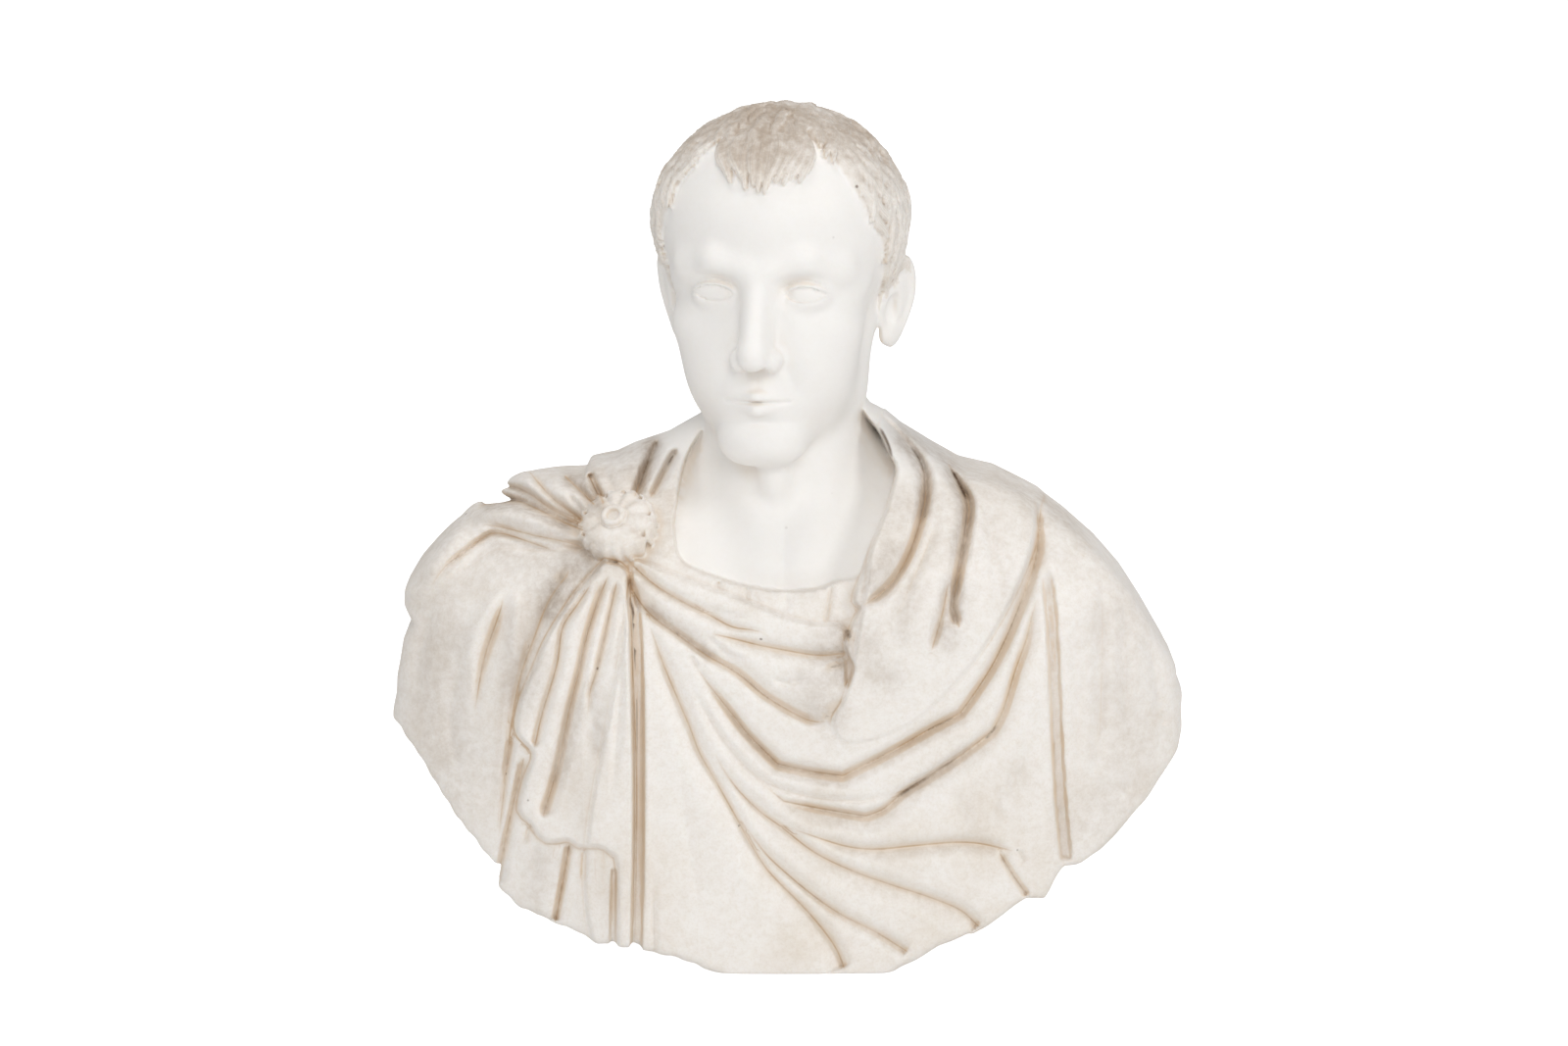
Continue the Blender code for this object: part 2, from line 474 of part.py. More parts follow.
def brooch_form(x, y, z):
    """A round brooch: a ringed boss, leaf petals of unequal width and a frilled rim."""
    n = np.array(BROOCH_OUT) / np.linalg.norm(BROOCH_OUT)
    side = np.cross((0.0, 0.0, 1.0), n)
    side /= np.linalg.norm(side)
    up = np.cross(n, side)
    px, py, pz = x - BROOCH_AT[0], y - BROOCH_AT[1], z - BROOCH_AT[2]
    a = px * side[0] + py * side[1] + pz * side[2]
    b = px * up[0] + py * up[1] + pz * up[2]
    w = px * n[0] + py * n[1] + pz * n[2]
    r = np.hypot(a, b) + 1e-6
    turn = np.arctan2(b, a)
    frill = np.cos(19 * turn + 0.8 * np.sin(5 * turn))
    rim = BROOCH_RADIUS * (1.0 + 0.03 * frill)
    dome = np.sqrt((r / rim) ** 2.6 + (np.maximum(w, 0) / 11.5) ** 2 + (np.minimum(w, 0) / 22.0) ** 2)
    form = (dome - 1.0) * 12.0
    # Petals, parted by grooves
    gap = np.full(r.shape, 1e3)
    for edge in BROOCH_PETALS:
        away = np.abs(np.angle(np.exp(1j * (turn - math.radians(edge)))))
        gap = np.minimum(gap, r * np.sin(np.minimum(away, 1.2)))
    on_leaf = ramp(r, 9.0, 12.0) * (1 - ramp(r, 24.5, 27.0))
    form = form + on_leaf * (1.9 * np.exp(-gap / 1.5) - 0.9 * ramp(gap, 1.5, 5.0))
    # The frill of the rim and the ringed boss
    form = form + (0.7 + 0.5 * frill) * np.exp(-((r - 24.5) / 1.1) ** 2)
    form = form - 0.8 * ramp(frill, -0.4, 0.6) * np.exp(-((r - 26.6) / 1.3) ** 2)
    form = form + 1.8 * np.exp(-((r - 10.2) / 1.3) ** 2) + 2.2 * np.exp(-((r / 4.4) ** 4))
    ring = np.hypot(r - 6.7, w - 12.2) - 2.3
    form = join(form, ring, 1.0)
    form = form - 1.6 * np.exp(-((r / 1.5) ** 2))
    for u, v in ((-19.5, -11.0), (20.0, -8.5)):
        form = keep(form, 1.9 - np.hypot(a - u, b - v), 1.0)
    return keep(form, r - rim * 1.02, 2.0)


# Head, in its own frame: chin line z = 0, crown z = 250, ears on y = 0
def lid_open(u, v):
    """Negative inside the almond opening between the lids."""
    upper = 6.6 * (1.0 - np.abs(u / 15.8) ** 2.2) + 0.04 * u
    lower = -4.6 * (1.0 - np.abs(u / 15.8) ** 2.0) + 0.04 * u
    return np.maximum(v - upper, lower - v) * 0.8


def skull_form(ax, y, z):
    f = egg(ax, y - 8, z - 160, 84, 98, 86)
    return join(f, egg(ax, y + 41, z - 167, 69, 54, 59), 30)


def face_form(x, y, z):
    ax = np.abs(x)
    f = skull_form(ax, y, z)
    f = join(f, egg(ax, y + 36, z - 100, 62, 58, 70), 24)
    f = join(f, cone(ax, y, z, (43, -10, 46), (16, -76, 20), 15, 16), 24)
    f = join(f, cone(ax, y, z, (54, 4, 92), (43, -10, 46), 15, 15), 20)
    f = join(f, egg(ax, y + 81, z - 17, 23, 21, 17), 18)
    f = join(f, egg(ax - 44, y + 60, z - 97, 22, 23, 16), 22)
    f = join(f, egg(ax - 28, y + 69, z - 72, 24, 24, 30), 18)
    f = join(f, egg(ax - 37, y + 46, z - 66, 21, 27, 34), 22)
    # Brow and sockets
    f = join(f, cone(ax, y, z, (11, -94.5, 141), (32, -89.5, 147), 6.5, 6), 14)
    f = join(f, cone(ax, y, z, (32, -89.5, 147), (53, -69.5, 142), 6, 5), 14)
    f = join(f, cone(ax, y, z, (53, -69.5, 142), (61, -47, 130), 5, 4), 18)
    f = keep(f, -egg(ax - 32, y + 103, z - 126, 21.5, 20.5, 12.8), 7)
    # Eyeballs and lids
    u, v = ax - 32.5, z - 123.5
    ball = egg(u, y + 75, v, 19, 15.5, 15)
    lids = keep(ball - 2.9, -lid_open(u, v), 0.8)
    lids = keep(lids, np.hypot(u * 0.72, v) - 13.0, 5)
    lids = keep(lids, y + 70, 4)
    f = join(f, lids, 4.0)
    over = np.exp(-((v - 10.2 + 0.022 * u * u) / 1.3) ** 2) * (1 - ramp(np.abs(u), 12, 19))
    f = f + 1.5 * over * (1 - ramp(y, -76, -70))
    f = np.minimum(f, np.maximum(ball, np.hypot(u * 0.9, v) - 15.0))
    # Nose
    n = cone(x, y, z, (0, -90, 138), (0, -104, 88), 9.5, 12.5)
    n = join(n, cone(x, y, z, (0, -97, 138), (0, -116.5, 90), 6.5, 7.6), 8)
    n = join(n, egg(ax, y + 115.5, z - 82.5, 10.5, 11.5, 9.5), 7)
    n = join(n, egg(ax - 12.2, y + 104, z - 78.5, 7.0, 11.0, 7.6), 5)
    f = join(f, n, 9)
    f = keep(f, -egg(ax - 6.2, y + 110.5, z - 70.5, 3.6, 6.5, 5.0), 2.5)
    # Mouth
    f = join(f, egg(ax, y + 68, z - 50, 35, 33, 29), 16)
    lips = join(cone(ax, y, z, (3.8, -102.0, 52.6), (23.5, -91.5, 48.4), 4.5, 1.7),
                cone(ax, y, z, (0.0, -101.0, 42.8), (20, -92.0, 46.2), 5.9, 1.8), 1.0)
    f = join(f, lips, 3.6)
    front = (1 - ramp(y, -90, -78))
    line = z - 48.0 - 0.9 * np.cos(ax / 6.0) - 0.0010 * ax * ax
    f = f + 2.1 * np.exp(-(line / 1.5) ** 2) * (1 - ramp(ax, 21, 28)) * front
    f = f + 0.9 * np.exp(-(x / 3.4) ** 2) * ramp(z, 56, 61) * (1 - ramp(z, 64, 70)) * front
    f = f + 3.0 * np.exp(-((z - 33) / 5.5) ** 2 - (ax / 18) ** 2) * front
    # The fold from the wing of the nose to the corner of the mouth
    fold = ax - 19.0 - (76.0 - z) * 0.42
    f = f + 0.9 * np.exp(-(fold / 4.5) ** 2) * ramp(z, 44, 56) * (1 - ramp(z, 70, 82)) * front
    return f


def ear_form(x, y, z):
    py, pz = y - 12.0, z - 106.0
    ax = np.abs(x) - 81.0 - 0.15 * pz
    lean, open_out = math.radians(10), math.radians(34)
    b = py * math.cos(lean) + pz * math.sin(lean)
    h = -py * math.sin(lean) + pz * math.cos(lean)
    a = b * math.cos(open_out) + ax * math.sin(open_out)
    n = -b * math.sin(open_out) + ax * math.cos(open_out)
    e = np.hypot(a / (15.5 - 0.12 * (h < 0) * np.abs(h)), h / 29.0) + 1e-6
    rim = np.sqrt(((e - 1.0) * 15.0) ** 2 + (n - 2.0) ** 2) - 3.4
    rim = rim + 3.0 * ramp(-a - 0.2 * h, 6.0, 13.0)
    plate = egg(a, n, h, 15.5, 4.5, 28.5)
    f = join(plate, rim, 2.5)
    f = join(f, egg(a + 1.0, n - 1.0, h + 25.0, 8.5, 4.8, 8.5), 4)
    f = keep(f, -egg(a + 3.5, n - 5.0, h + 5.0, 7.5, 6.5, 12.5), 2.5)
    f = join(f, cone(a, n, h, (5.0, 1.5, -10.0), (0.5, 1.5, 15.0), 2.6, 2.4), 2.0)
    return f


# Hair, laid out on a flat map around the crown: distance from it is the angle, in radians
CROWN = (0.0, 0.42, 0.91)
HAIR_ASIDE = 4.0         # extra thickness of the hair at the sides
SKULL_AT = (0.0, 4.0, 152.0)
# Degrees round from the front, and height over the chin line
HAIRLINE = [(0, 206), (10, 207), (18, 211), (24, 215), (30, 216), (36, 210), (41, 202), (45, 191), (48, 181),
            (54, 168), (61, 157), (68, 145), (75, 130), (81, 116), (86, 106), (91, 118), (96, 140),
            (104, 140), (114, 128), (124, 92), (140, 54), (160, 46), (180, 44)]
TEMPLE_EDGE = [(29, 220), (36, 214), (42, 204), (47, 191), (53, 176), (62, 162), (70, 146), (78, 130),
               (84, 112)]


def hair_map_place(dx, dy, dz):
    """From a direction off the skull's middle to the flat map."""
    w = np.array(CROWN) / np.linalg.norm(CROWN)
    fore = np.array((0.0, -w[2], w[1]))
    c = dx * w[0] + dy * w[1] + dz * w[2]
    a = dx * fore[0] + dy * fore[1] + dz * fore[2]
    b = dx
    far = np.arccos(np.clip(c, -1, 1))
    s = far / np.maximum(np.hypot(a, b), 1e-9)
    return b * s, -a * s


def hair_map_point(mu, mv):
    """The direction that falls on a point of the flat map."""
    w = np.array(CROWN) / np.linalg.norm(CROWN)
    fore = np.array((0.0, -w[2], w[1]))
    far = np.hypot(mu, mv) + 1e-9
    a, b = -mv / far, mu / far
    c, s = np.cos(far), np.sin(far)
    return s * b, c * w[1] + s * a * fore[1], c * w[2] + s * a * fore[2]


def hair_here(mu, mv):
    """Height over the hairline at a point of the flat map, in millimetres: positive on the hair."""
    dx, dy, dz = hair_map_point(mu, mv)
    round_head = 88.0
    z = SKULL_AT[2] + dz * round_head
    turn = np.degrees(np.arctan2(np.abs(dx), -(dy * round_head + SKULL_AT[1]) / round_head))
    table = np.array(HAIRLINE, float)
    return z - np.interp(turn, table[:, 0], table[:, 1])


def lay_lock(sheet, start, heading, bend, wave, length, half, height, wall, strands):
    """One waving lock with combed strands, low at its root and blunt at its tip."""
    u, v = start
    route = [(u, v)]
    for i in range(12):
        way = heading + bend * i / 11 + wave * math.sin(2 * math.pi * i / 11)
        u += length / 12 * math.sin(way)
        v -= length / 12 * math.cos(way)
        route.append((u, v))
    route = np.array(route)
    part, wu, wv = sheet.window(route, half * 1.2)
    s, t = near_route(route, wu, wv)
    wide = half * np.sqrt(np.clip(t * 3.0 + 0.4, 0, 1)) * np.sqrt(np.clip((1 - t) * 2.0 + 0.10, 0, 1))
    q = np.clip(1 - (s / wide) ** 2, 0, 1)
    top = 3.4 + (height - 3.4) * ramp(t, 0.0, 0.5) * (1 - 0.30 * ramp(t, 0.75, 1.0))
    top = top * (wall + (1 - wall) * np.sqrt(q))
    if strands:
        top = top - 0.9 * (0.5 - 0.5 * np.cos(s / half * 9.5)) * ramp(q, 0.0, 0.4)
    sheet.h[part] = np.where(q > 0, np.maximum(sheet.h[part], top), sheet.h[part])


def lay_temple_locks(sheet, side, strands):
    """Rows of locks that follow the edge of the hair past the temple and down in front of the ear."""
    spots = []
    for degrees, high in TEMPLE_EDGE:
        dz = (high - SKULL_AT[2]) / 88.0
        flat = math.sqrt(1 - dz * dz)
        round_by = math.radians(degrees)
        spots.append(hair_map_place(side * flat * math.sin(round_by), -flat * math.cos(round_by), dz))
    spots = np.array(spots, float)
    for row, inside in enumerate((0.47, 0.40, 0.33, 0.26, 0.19, 0.12, 0.065, 0.02)):
        line = spots * (1 - inside / np.hypot(spots[:, 0], spots[:, 1]))[:, None]
        for i in range(row % 2, len(line) - 2, 2):
            d = line[i + 2] - line[i]
            first, last = line[i + 1] - line[i], line[i + 2] - line[i + 1]
            bent = math.atan2(last[0], -last[1]) - math.atan2(first[0], -first[1])
            lay_lock(sheet, line[i], math.atan2(d[0], -d[1]) - 0.5 * bent, bent,
                     0.30 * (1 if i % 4 < 2 else -1), 1.18 * np.hypot(*d), 0.045,
                     6.6 + 0.5 * (i % 3) - 0.35 * max(row - 4, 0), 0.42, strands)


def hair_sheet(step, strands, seed=7):
    sheet = Sheet(-2.5, -2.5, 2.5, 2.5, step)
    gu, gv = np.meshgrid(sheet.u, sheet.v, indexing="ij")
    over_line = hair_here(gu, gv)
    sheet.h = 2.8 * ramp(over_line, -1.0, 12.0)
    sheet.h[np.hypot(gu, gv) > 2.45] = 0
    rng = np.random.default_rng(seed)
    for ring, far in enumerate(np.arange(0.04, 2.35, 0.10)):
        count = max(6, int(2 * math.pi * math.sin(min(far, math.pi / 2 + 0.2)) / 0.135))
        for k in range(count):
            turn = 2 * math.pi * (k + 0.5 * (ring % 2) + rng.uniform(-0.3, 0.3)) / count
            turn = math.atan2(math.sin(turn), math.cos(turn))
            out, big, chance, rise = (rng.uniform(-0.04, 0.04), rng.uniform(0.8, 1.25), rng.uniform(-1, 1),
                                      rng.uniform(5.4, 7.2))
            # Locks run out from the crown, swing forward on top and back again past the temples
            ahead_of = ramp(far, 0.2, 0.8) * (1 - ramp(far, 1.0, 1.4))
            past = ramp(far, 0.9, 1.4) * ramp(abs(turn), 0.4, 0.9) * (1 - ramp(abs(turn), 1.6, 2.2))
            swing = -0.45 * math.sin(turn) * ahead_of + 0.75 * math.copysign(1.0, turn) * past
            bend = 0.55 * chance
            wave = 0.42 if (ring + k) % 2 else -0.32
            u, v = (far + out) * math.sin(turn), -(far + out) * math.cos(turn)
            heading = turn + swing - bend * 0.5
            ahead = 0.42 * big
            end = hair_here(np.array(u + ahead * math.sin(heading)), np.array(v - ahead * math.cos(heading)))
            if hair_here(np.array(u), np.array(v)) < 5.0 or end < -1.0:
                continue
            lay_lock(sheet, (u, v), heading, bend, wave, ahead, 0.045 * big, rise, 0.58, strands)
    for side in (-1.0, 1.0):
        lay_temple_locks(sheet, side, strands)
    # The fringe: locks that spread from the middle and curl back in at their tips
    for k in range(13):
        turn = -0.33 + 0.055 * k
        side = -1.0 if k < 6 else 1.0
        reach = 0.47 - 0.42 * abs(turn) + 0.03 * (k % 3)
        lay_lock(sheet, (1.04 * math.sin(turn * 0.8), -1.04 * math.cos(turn * 0.8)),
                 turn * 0.6 + side * 0.55,
                 -side * (1.15 - 0.10 * (k % 3)), 0.22 * side, reach, 0.058, 6.8 - 0.4 * (k % 3), 0.35,
                 strands)
    # The hair stands out further at the sides
    aside = np.abs(np.sin(np.arctan2(gu, -gv))) * ramp(np.hypot(gu, gv), 0.6, 1.3)
    sheet.h += HAIR_ASIDE * aside * ramp(over_line, 3.0, 50.0) * ramp(sheet.h, 0.5, 2.0)
    return sheet


def head_frame(x, y, z):
    """A point of the bust in the head's own frame, in 250ths of the head's height."""
    px, py, pz = x - HEAD_ORIGIN[0] * BODY, y - HEAD_ORIGIN[1] * BODY, z - HEAD_ORIGIN[2] * BODY
    c, s = math.cos(HEAD_YAW), math.sin(HEAD_YAW)
    return (px * c + py * s) / HEAD, (py * c - px * s) / HEAD, pz / HEAD


def hair_form(x, y, z, skull, sheet):
    dx, dy, dz = x - SKULL_AT[0], y - SKULL_AT[1], z - SKULL_AT[2]
    far = np.sqrt(dx * dx + dy * dy + dz * dz) + 1e-6
    mu, mv = hair_map_place(dx / far, dy / far, dz / far)
    high = sheet.at(mu, mv)
    return np.where(high > 0.05, skull - high, 1e3 * np.ones_like(high)), high


def head_form(x, y, z, hair):
    hx, hy, hz = head_frame(x, y, z)
    bare = face_form(hx, hy, hz)
    skull = skull_form(hx, hy, hz)
    lower = egg(hx, hy - 30, hz - 96, 60, 58, 60)
    skull = join(skull, lower, 20)
    grown, high = hair_form(hx, hy, hz, join(skull, bare, 2.0), hair)
    f = np.minimum(bare, grown)
    f = join(f, egg(hx, hy - 30, hz - 92, 56, 56, 62), 18)
    ears = ear_form(hx, hy, hz)
    return join(f, ears, 3.0)


def bust_form(x, y, z, sheets):
    outline, folds, neckline, hair = sheets
    form = np.full(x.shape, 1e3)
    low = z < 470 * BODY
    if low.any():
        bx, by, bz = x[low] / BODY, y[low] / BODY, z[low] / BODY
        body = body_form(bx, by, bz)
        u, v = drawn(bx, by, bz)
        near = 1 - ramp(by, 8.0, 46.0)
        cloth = body - (folds.at(u, v) - neckline.at(u, v)) * near
        edge = outline.at(bx, bz)
        skin = join(neck_form(bx, by, bz), body + SKIN_UNDER_CLOTH, 26.0)
        part = join(keep(cloth, edge, CUT_ROUND), keep(skin, edge, CUT_ROUND), 2.5)
        part = join(part, brooch_form(bx, by, bz), 2.0)
        form[low] = np.maximum(part, -bz) * BODY
    high = z > 330 * BODY
    if high.any():
        head = head_form(x[high], y[high], z[high], hair) * HEAD
        form[high] = join(form[high], head, 12.0 * HEAD)
    return form


# Turning the form into a closed mesh
def field_over(xs, ys, zs, form):
    field = np.empty((len(xs), len(ys), len(zs)), np.float32)
    for k in range(0, len(zs), 8):
        gx, gy, gz = np.meshgrid(xs, ys, zs[k : k + 8], indexing="ij")
        shape = gx.shape
        field[:, :, k : k + 8] = form(gx.ravel(), gy.ravel(), gz.ravel()).reshape(shape)
    return field


def clear_pinches(field):
    """Fills the grid corners where the skin of the form would touch itself."""
    for _ in range(30):
        full = field < 0
        fill = np.zeros(full.shape, bool)
        for axis in range(3):
            f = np.moveaxis(full, axis, 0)
            g = np.moveaxis(fill, axis, 0)
            a, b, c, d = f[:, :-1, :-1], f[:, 1:, :-1], f[:, :-1, 1:], f[:, 1:, 1:]
            one = a & d & ~b & ~c
            two = ~a & ~d & b & c
            g[:, 1:, :-1] |= one
            g[:, :-1, :-1] |= two
        n = sum(full[i : i - 1 or None, j : j - 1 or None, k : k - 1 or None].astype(np.int8)
                for i in (0, 1) for j in (0, 1) for k in (0, 1))
        for i, j, k in ((0, 0, 0), (1, 0, 0), (0, 1, 0), (0, 0, 1)):
            a = full[i : i - 1 or None, j : j - 1 or None, k : k - 1 or None]
            b = full[1 - i : -i or None, 1 - j : -j or None, 1 - k : -k or None]
            lone = (n == 2) & a & b
            fill[1:, 1:, 1:][lone] = True
            fill[:-1, 1:, 1:][lone] = True
            fill[1:, :-1, 1:][lone] = True
            fill[1:, 1:, :-1][lone] = True
            gap = (n == 6) & ~a & ~b
            fill[i : i - 1 or None, j : j - 1 or None, k : k - 1 or None][gap] = True
        fill &= ~full
        if not fill.any():
            return
        field[fill] = -0.05


def net_of(field, xs, ys, zs):
    """Surface net: one vertex in each cell that the surface crosses, one quad over each crossed edge."""
    full = field < 0
    n = sum(full[i : i - 1 or None, j : j - 1 or None, k : k - 1 or None].astype(np.int8)
            for i in (0, 1) for j in (0, 1) for k in (0, 1))
    ci, cj, ck = np.nonzero((n > 0) & (n < 8))
    number = np.full(n.shape, -1, np.int32)
    number[ci, cj, ck] = np.arange(len(ci))
    total = np.zeros((len(ci), 3))
    count = np.zeros(len(ci))
    grid = (xs, ys, zs)
    for axis in range(3):
        o1, o2 = [o for o in range(3) if o != axis]
        for s1 in (0, 1):
            for s2 in (0, 1):
                start = [ci, cj, ck]
                start[o1] = start[o1] + s1
                start[o2] = start[o2] + s2
                end = list(start)
                end[axis] = end[axis] + 1
                fa = field[start[0], start[1], start[2]].astype(float)
                fb = field[end[0], end[1], end[2]].astype(float)
                cross = (fa < 0) != (fb < 0)
                t = np.where(cross, fa / np.where(cross, fa - fb, 1.0), 0.0)
                for o in range(3):
                    g = grid[o]
                    at = g[start[o]]
                    if o == axis:
                        at = at + t * (g[end[o]] - at)
                    total[:, o] += np.where(cross, at, 0.0)
                count += cross
    points = total / count[:, None]
    quads = []
    for axis in range(3):
        o1, o2 = [(1, 2), (2, 0), (0, 1)][axis]
        a = np.moveaxis(full, (axis, o1, o2), (0, 1, 2))
        m = np.moveaxis(number, (axis, o1, o2), (0, 1, 2))
        cross = a[:-1, 1:-1, 1:-1] != a[1:, 1:-1, 1:-1]
        i, j, k = np.nonzero(cross)
        j, k = j + 1, k + 1
        quad = np.stack([m[i, j - 1, k - 1], m[i, j, k - 1], m[i, j, k], m[i, j - 1, k]], axis=1)
        inward = ~a[i, j, k]
        quad[inward] = quad[inward][:, ::-1]
        quads.append(quad)
    return points, np.vstack(quads)


# The solid
GRID_MM = 4.0
HEAD_GRID_MM = 3.2       # layers through the head
MOST_TRIANGLES = 9300


def build_bust():
    sheets = (outline_sheet(3.0), fold_sheet(3.0, 5.0), neckline_sheet(3.0), hair_sheet(0.02, False))
    neck = HEAD_ORIGIN[2] * BODY - 9.3
    crown = HEAD_ORIGIN[2] * BODY + 277.0 * HEAD
    xs = np.arange(-302.0 * BODY, 306.0 * BODY, GRID_MM)
    front = min(-142.0 * BODY, HEAD_ORIGIN[1] * BODY - 133.0 * HEAD)
    back = max(134.0 * BODY, HEAD_ORIGIN[1] * BODY + 125.0 * HEAD)
    ys = np.arange(front, back, GRID_MM)
    zs = np.concatenate([np.arange(-6.3, neck - 1.7, GRID_MM), np.arange(neck, crown, HEAD_GRID_MM)])
    field = field_over(xs, ys, zs, lambda x, y, z: bust_form(x, y, z, sheets))
    clear_pinches(field)
    points, quads = net_of(field, xs, ys, zs)
    mesh = bpy.data.meshes.new("marble_bust")
    mesh.from_pydata((points * 0.001).tolist(), [], quads.tolist())
    mesh.update()
    bust = bpy.data.objects.new("marble_bust", mesh)
    bpy.context.scene.collection.objects.link(bust)
    return bust


def thin_out(bust):
    """Fewer triangles where the form is plain, and a truly flat underside."""
    cut = bust.modifiers.new("fewer", "DECIMATE")
    cut.ratio = MOST_TRIANGLES / (2 * len(bust.data.polygons))
    cut.use_collapse_triangulate = True
    graph = bpy.context.evaluated_depsgraph_get()
    mesh = bpy.data.meshes.new_from_object(bust.evaluated_get(graph))
    bust.modifiers.remove(cut)
    bust.data = mesh
    mesh.name = "marble_bust"
    for vertex in mesh.vertices:
        if vertex.co.z < 0.0006:
            vertex.co.z = 0.0
    return mesh


def marble():
    material = bpy.data.materials.new("marble")
    material.use_nodes = True
    shader = material.node_tree.nodes["Principled BSDF"]
    shader.inputs["Base Color"].default_value = (0.76, 0.72, 0.66, 1.0)
    shader.inputs["Roughness"].default_value = 0.5
    return material


bust = build_bust()
thin_out(bust)
bust.data.materials.append(marble())
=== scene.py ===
# Looks of the carved marble bust: its fine carving, its stone and its light
import math

import bpy
import numpy as np
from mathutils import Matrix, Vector


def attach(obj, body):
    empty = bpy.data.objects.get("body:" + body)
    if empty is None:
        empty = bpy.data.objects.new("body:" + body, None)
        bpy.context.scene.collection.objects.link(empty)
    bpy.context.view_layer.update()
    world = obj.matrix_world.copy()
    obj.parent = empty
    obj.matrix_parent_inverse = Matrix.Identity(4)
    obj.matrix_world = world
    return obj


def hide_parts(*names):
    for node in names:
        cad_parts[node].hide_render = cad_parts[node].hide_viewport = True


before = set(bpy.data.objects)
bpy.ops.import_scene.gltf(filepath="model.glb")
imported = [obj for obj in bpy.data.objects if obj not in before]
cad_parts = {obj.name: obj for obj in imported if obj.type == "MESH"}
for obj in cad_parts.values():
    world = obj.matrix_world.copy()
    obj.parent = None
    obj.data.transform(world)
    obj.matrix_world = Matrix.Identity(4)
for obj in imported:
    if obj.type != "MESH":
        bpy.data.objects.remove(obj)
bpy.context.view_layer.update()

# Sizes, in millimetres. The floor is z = 0, the front faces -Y and +X is the figure's left.
SHOULDER_WIDTH = 575.0   # across both arms
HEAD_HEIGHT = 250.0      # from under the chin to the crown of the bare skull
BODY = SHOULDER_WIDTH / 575.0
HEAD = HEAD_HEIGHT / 250.0

# Proportions of the body, in 575ths of the width over the shoulders
DRAWN_MM = 0.72          # one drawing unit at the middle of the bust
VIEW_TILT = math.radians(12.0)
VIEW_FAR = 3000.0
AIM_X = 800.0
AIM_Y = 533.0
AIM_UP = 298.4
CHEST_HALF_WIDTH = 284.0
CHEST_FRONT = 118.0
CHEST_BACK = 104.0
CHEST_LEVEL = 185.0      # below this height the chest keeps one section
CHEST_RISE = 165.0
CHEST_POWER = 2.4
FOLD_DEPTH = 1.0         # depth of all folds, against the sizes drawn for them
CUT_ROUND = 9.0          # rounding of the lower cut
SKIN_UNDER_CLOTH = 13.0
NECK_CUT = 42.0          # how far the cloth is cut back over the bare neck
BODY_TOP = 470.0         # the body's forms end at this height
HEAD_LOW = 330.0         # and the head's forms begin at this one
HEAD_ORIGIN = (-2.0, 9.0, 363.0)   # under the chin line, on the axis between the ears
HEAD_YAW = math.radians(-10.0)


# Joins and simple forms
def join(a, b, k):
    """The smaller of two fields, rounded over k."""
    h = np.maximum(k - np.abs(a - b), 0.0) / k
    return np.minimum(a, b) - h * h * k * 0.25


def keep(a, b, k):
    """The larger of two fields, rounded over k: what both hold."""
    return -join(-a, -b, k)


def ramp(v, low, high):
    t = np.clip((v - low) / (high - low), 0.0, 1.0)
    return t * t * (3.0 - 2.0 * t)


def egg(x, y, z, rx, ry, rz):
    """Ellipsoid about the origin."""
    k0 = np.sqrt((x / rx) ** 2 + (y / ry) ** 2 + (z / rz) ** 2)
    k1 = np.sqrt((x / rx**2) ** 2 + (y / ry**2) ** 2 + (z / rz**2) ** 2) + 1e-9
    return k0 * (k0 - 1.0) / k1


def cone(x, y, z, a, b, ra, rb):
    """Round cone from a to b with end radii ra and rb."""
    d = [b[i] - a[i] for i in range(3)]
    long2 = d[0] ** 2 + d[1] ** 2 + d[2] ** 2
    px, py, pz = x - a[0], y - a[1], z - a[2]
    t = np.clip((px * d[0] + py * d[1] + pz * d[2]) / long2, 0.0, 1.0)
    gap = np.sqrt((px - t * d[0]) ** 2 + (py - t * d[1]) ** 2 + (pz - t * d[2]) ** 2)
    return gap - (ra + t * (rb - ra))


def pillow(x, y, z, a, b, c, n):
    """Squarish ellipsoid of power n."""
    ux, uy, uz = np.abs(x) / a, np.abs(y) / b, np.abs(z) / c
    r = (ux**n + uy**n + uz**n) ** (1.0 / n) + 1e-6
    gx = (ux / r) ** (n - 1) / a
    gy = (uy / r) ** (n - 1) / b
    gz = (uz / r) ** (n - 1) / c
    return (r - 1.0) / np.sqrt(gx**2 + gy**2 + gz**2 + 1e-12)


# The drawing plane, seen from 12 degrees above the level
def drawn(x, y, z):
    """Where a point of the bust falls on the drawing plane."""
    up = z * math.cos(VIEW_TILT) + y * math.sin(VIEW_TILT)
    away = VIEW_FAR + y * math.cos(VIEW_TILT) - (z - AIM_UP) * math.sin(VIEW_TILT)
    s = VIEW_FAR / away / DRAWN_MM
    return AIM_X + x * s, AIM_Y - (up - AIM_UP) * s


def placed(u, v, y):
    """The point at depth y that is drawn at (u, v)."""
    z = 200.0
    for _ in range(4):
        away = VIEW_FAR + y * math.cos(VIEW_TILT) - (z - AIM_UP) * math.sin(VIEW_TILT)
        up = AIM_UP + (AIM_Y - v) * DRAWN_MM * away / VIEW_FAR
        z = (up - y * math.sin(VIEW_TILT)) / math.cos(VIEW_TILT)
    return (u - AIM_X) * DRAWN_MM * away / VIEW_FAR, z


def front_share(y):
    """1 on the carved front, falling to 0 on the plain back."""
    return 1 - ramp(y, 8.0, 46.0)


def fade_ends(t, start, end):
    """Rises over the start of a route and falls over its end."""
    return ramp(t, -0.001, max(start, 0.002)) * ramp(1 - t, -0.001, max(end, 0.002))


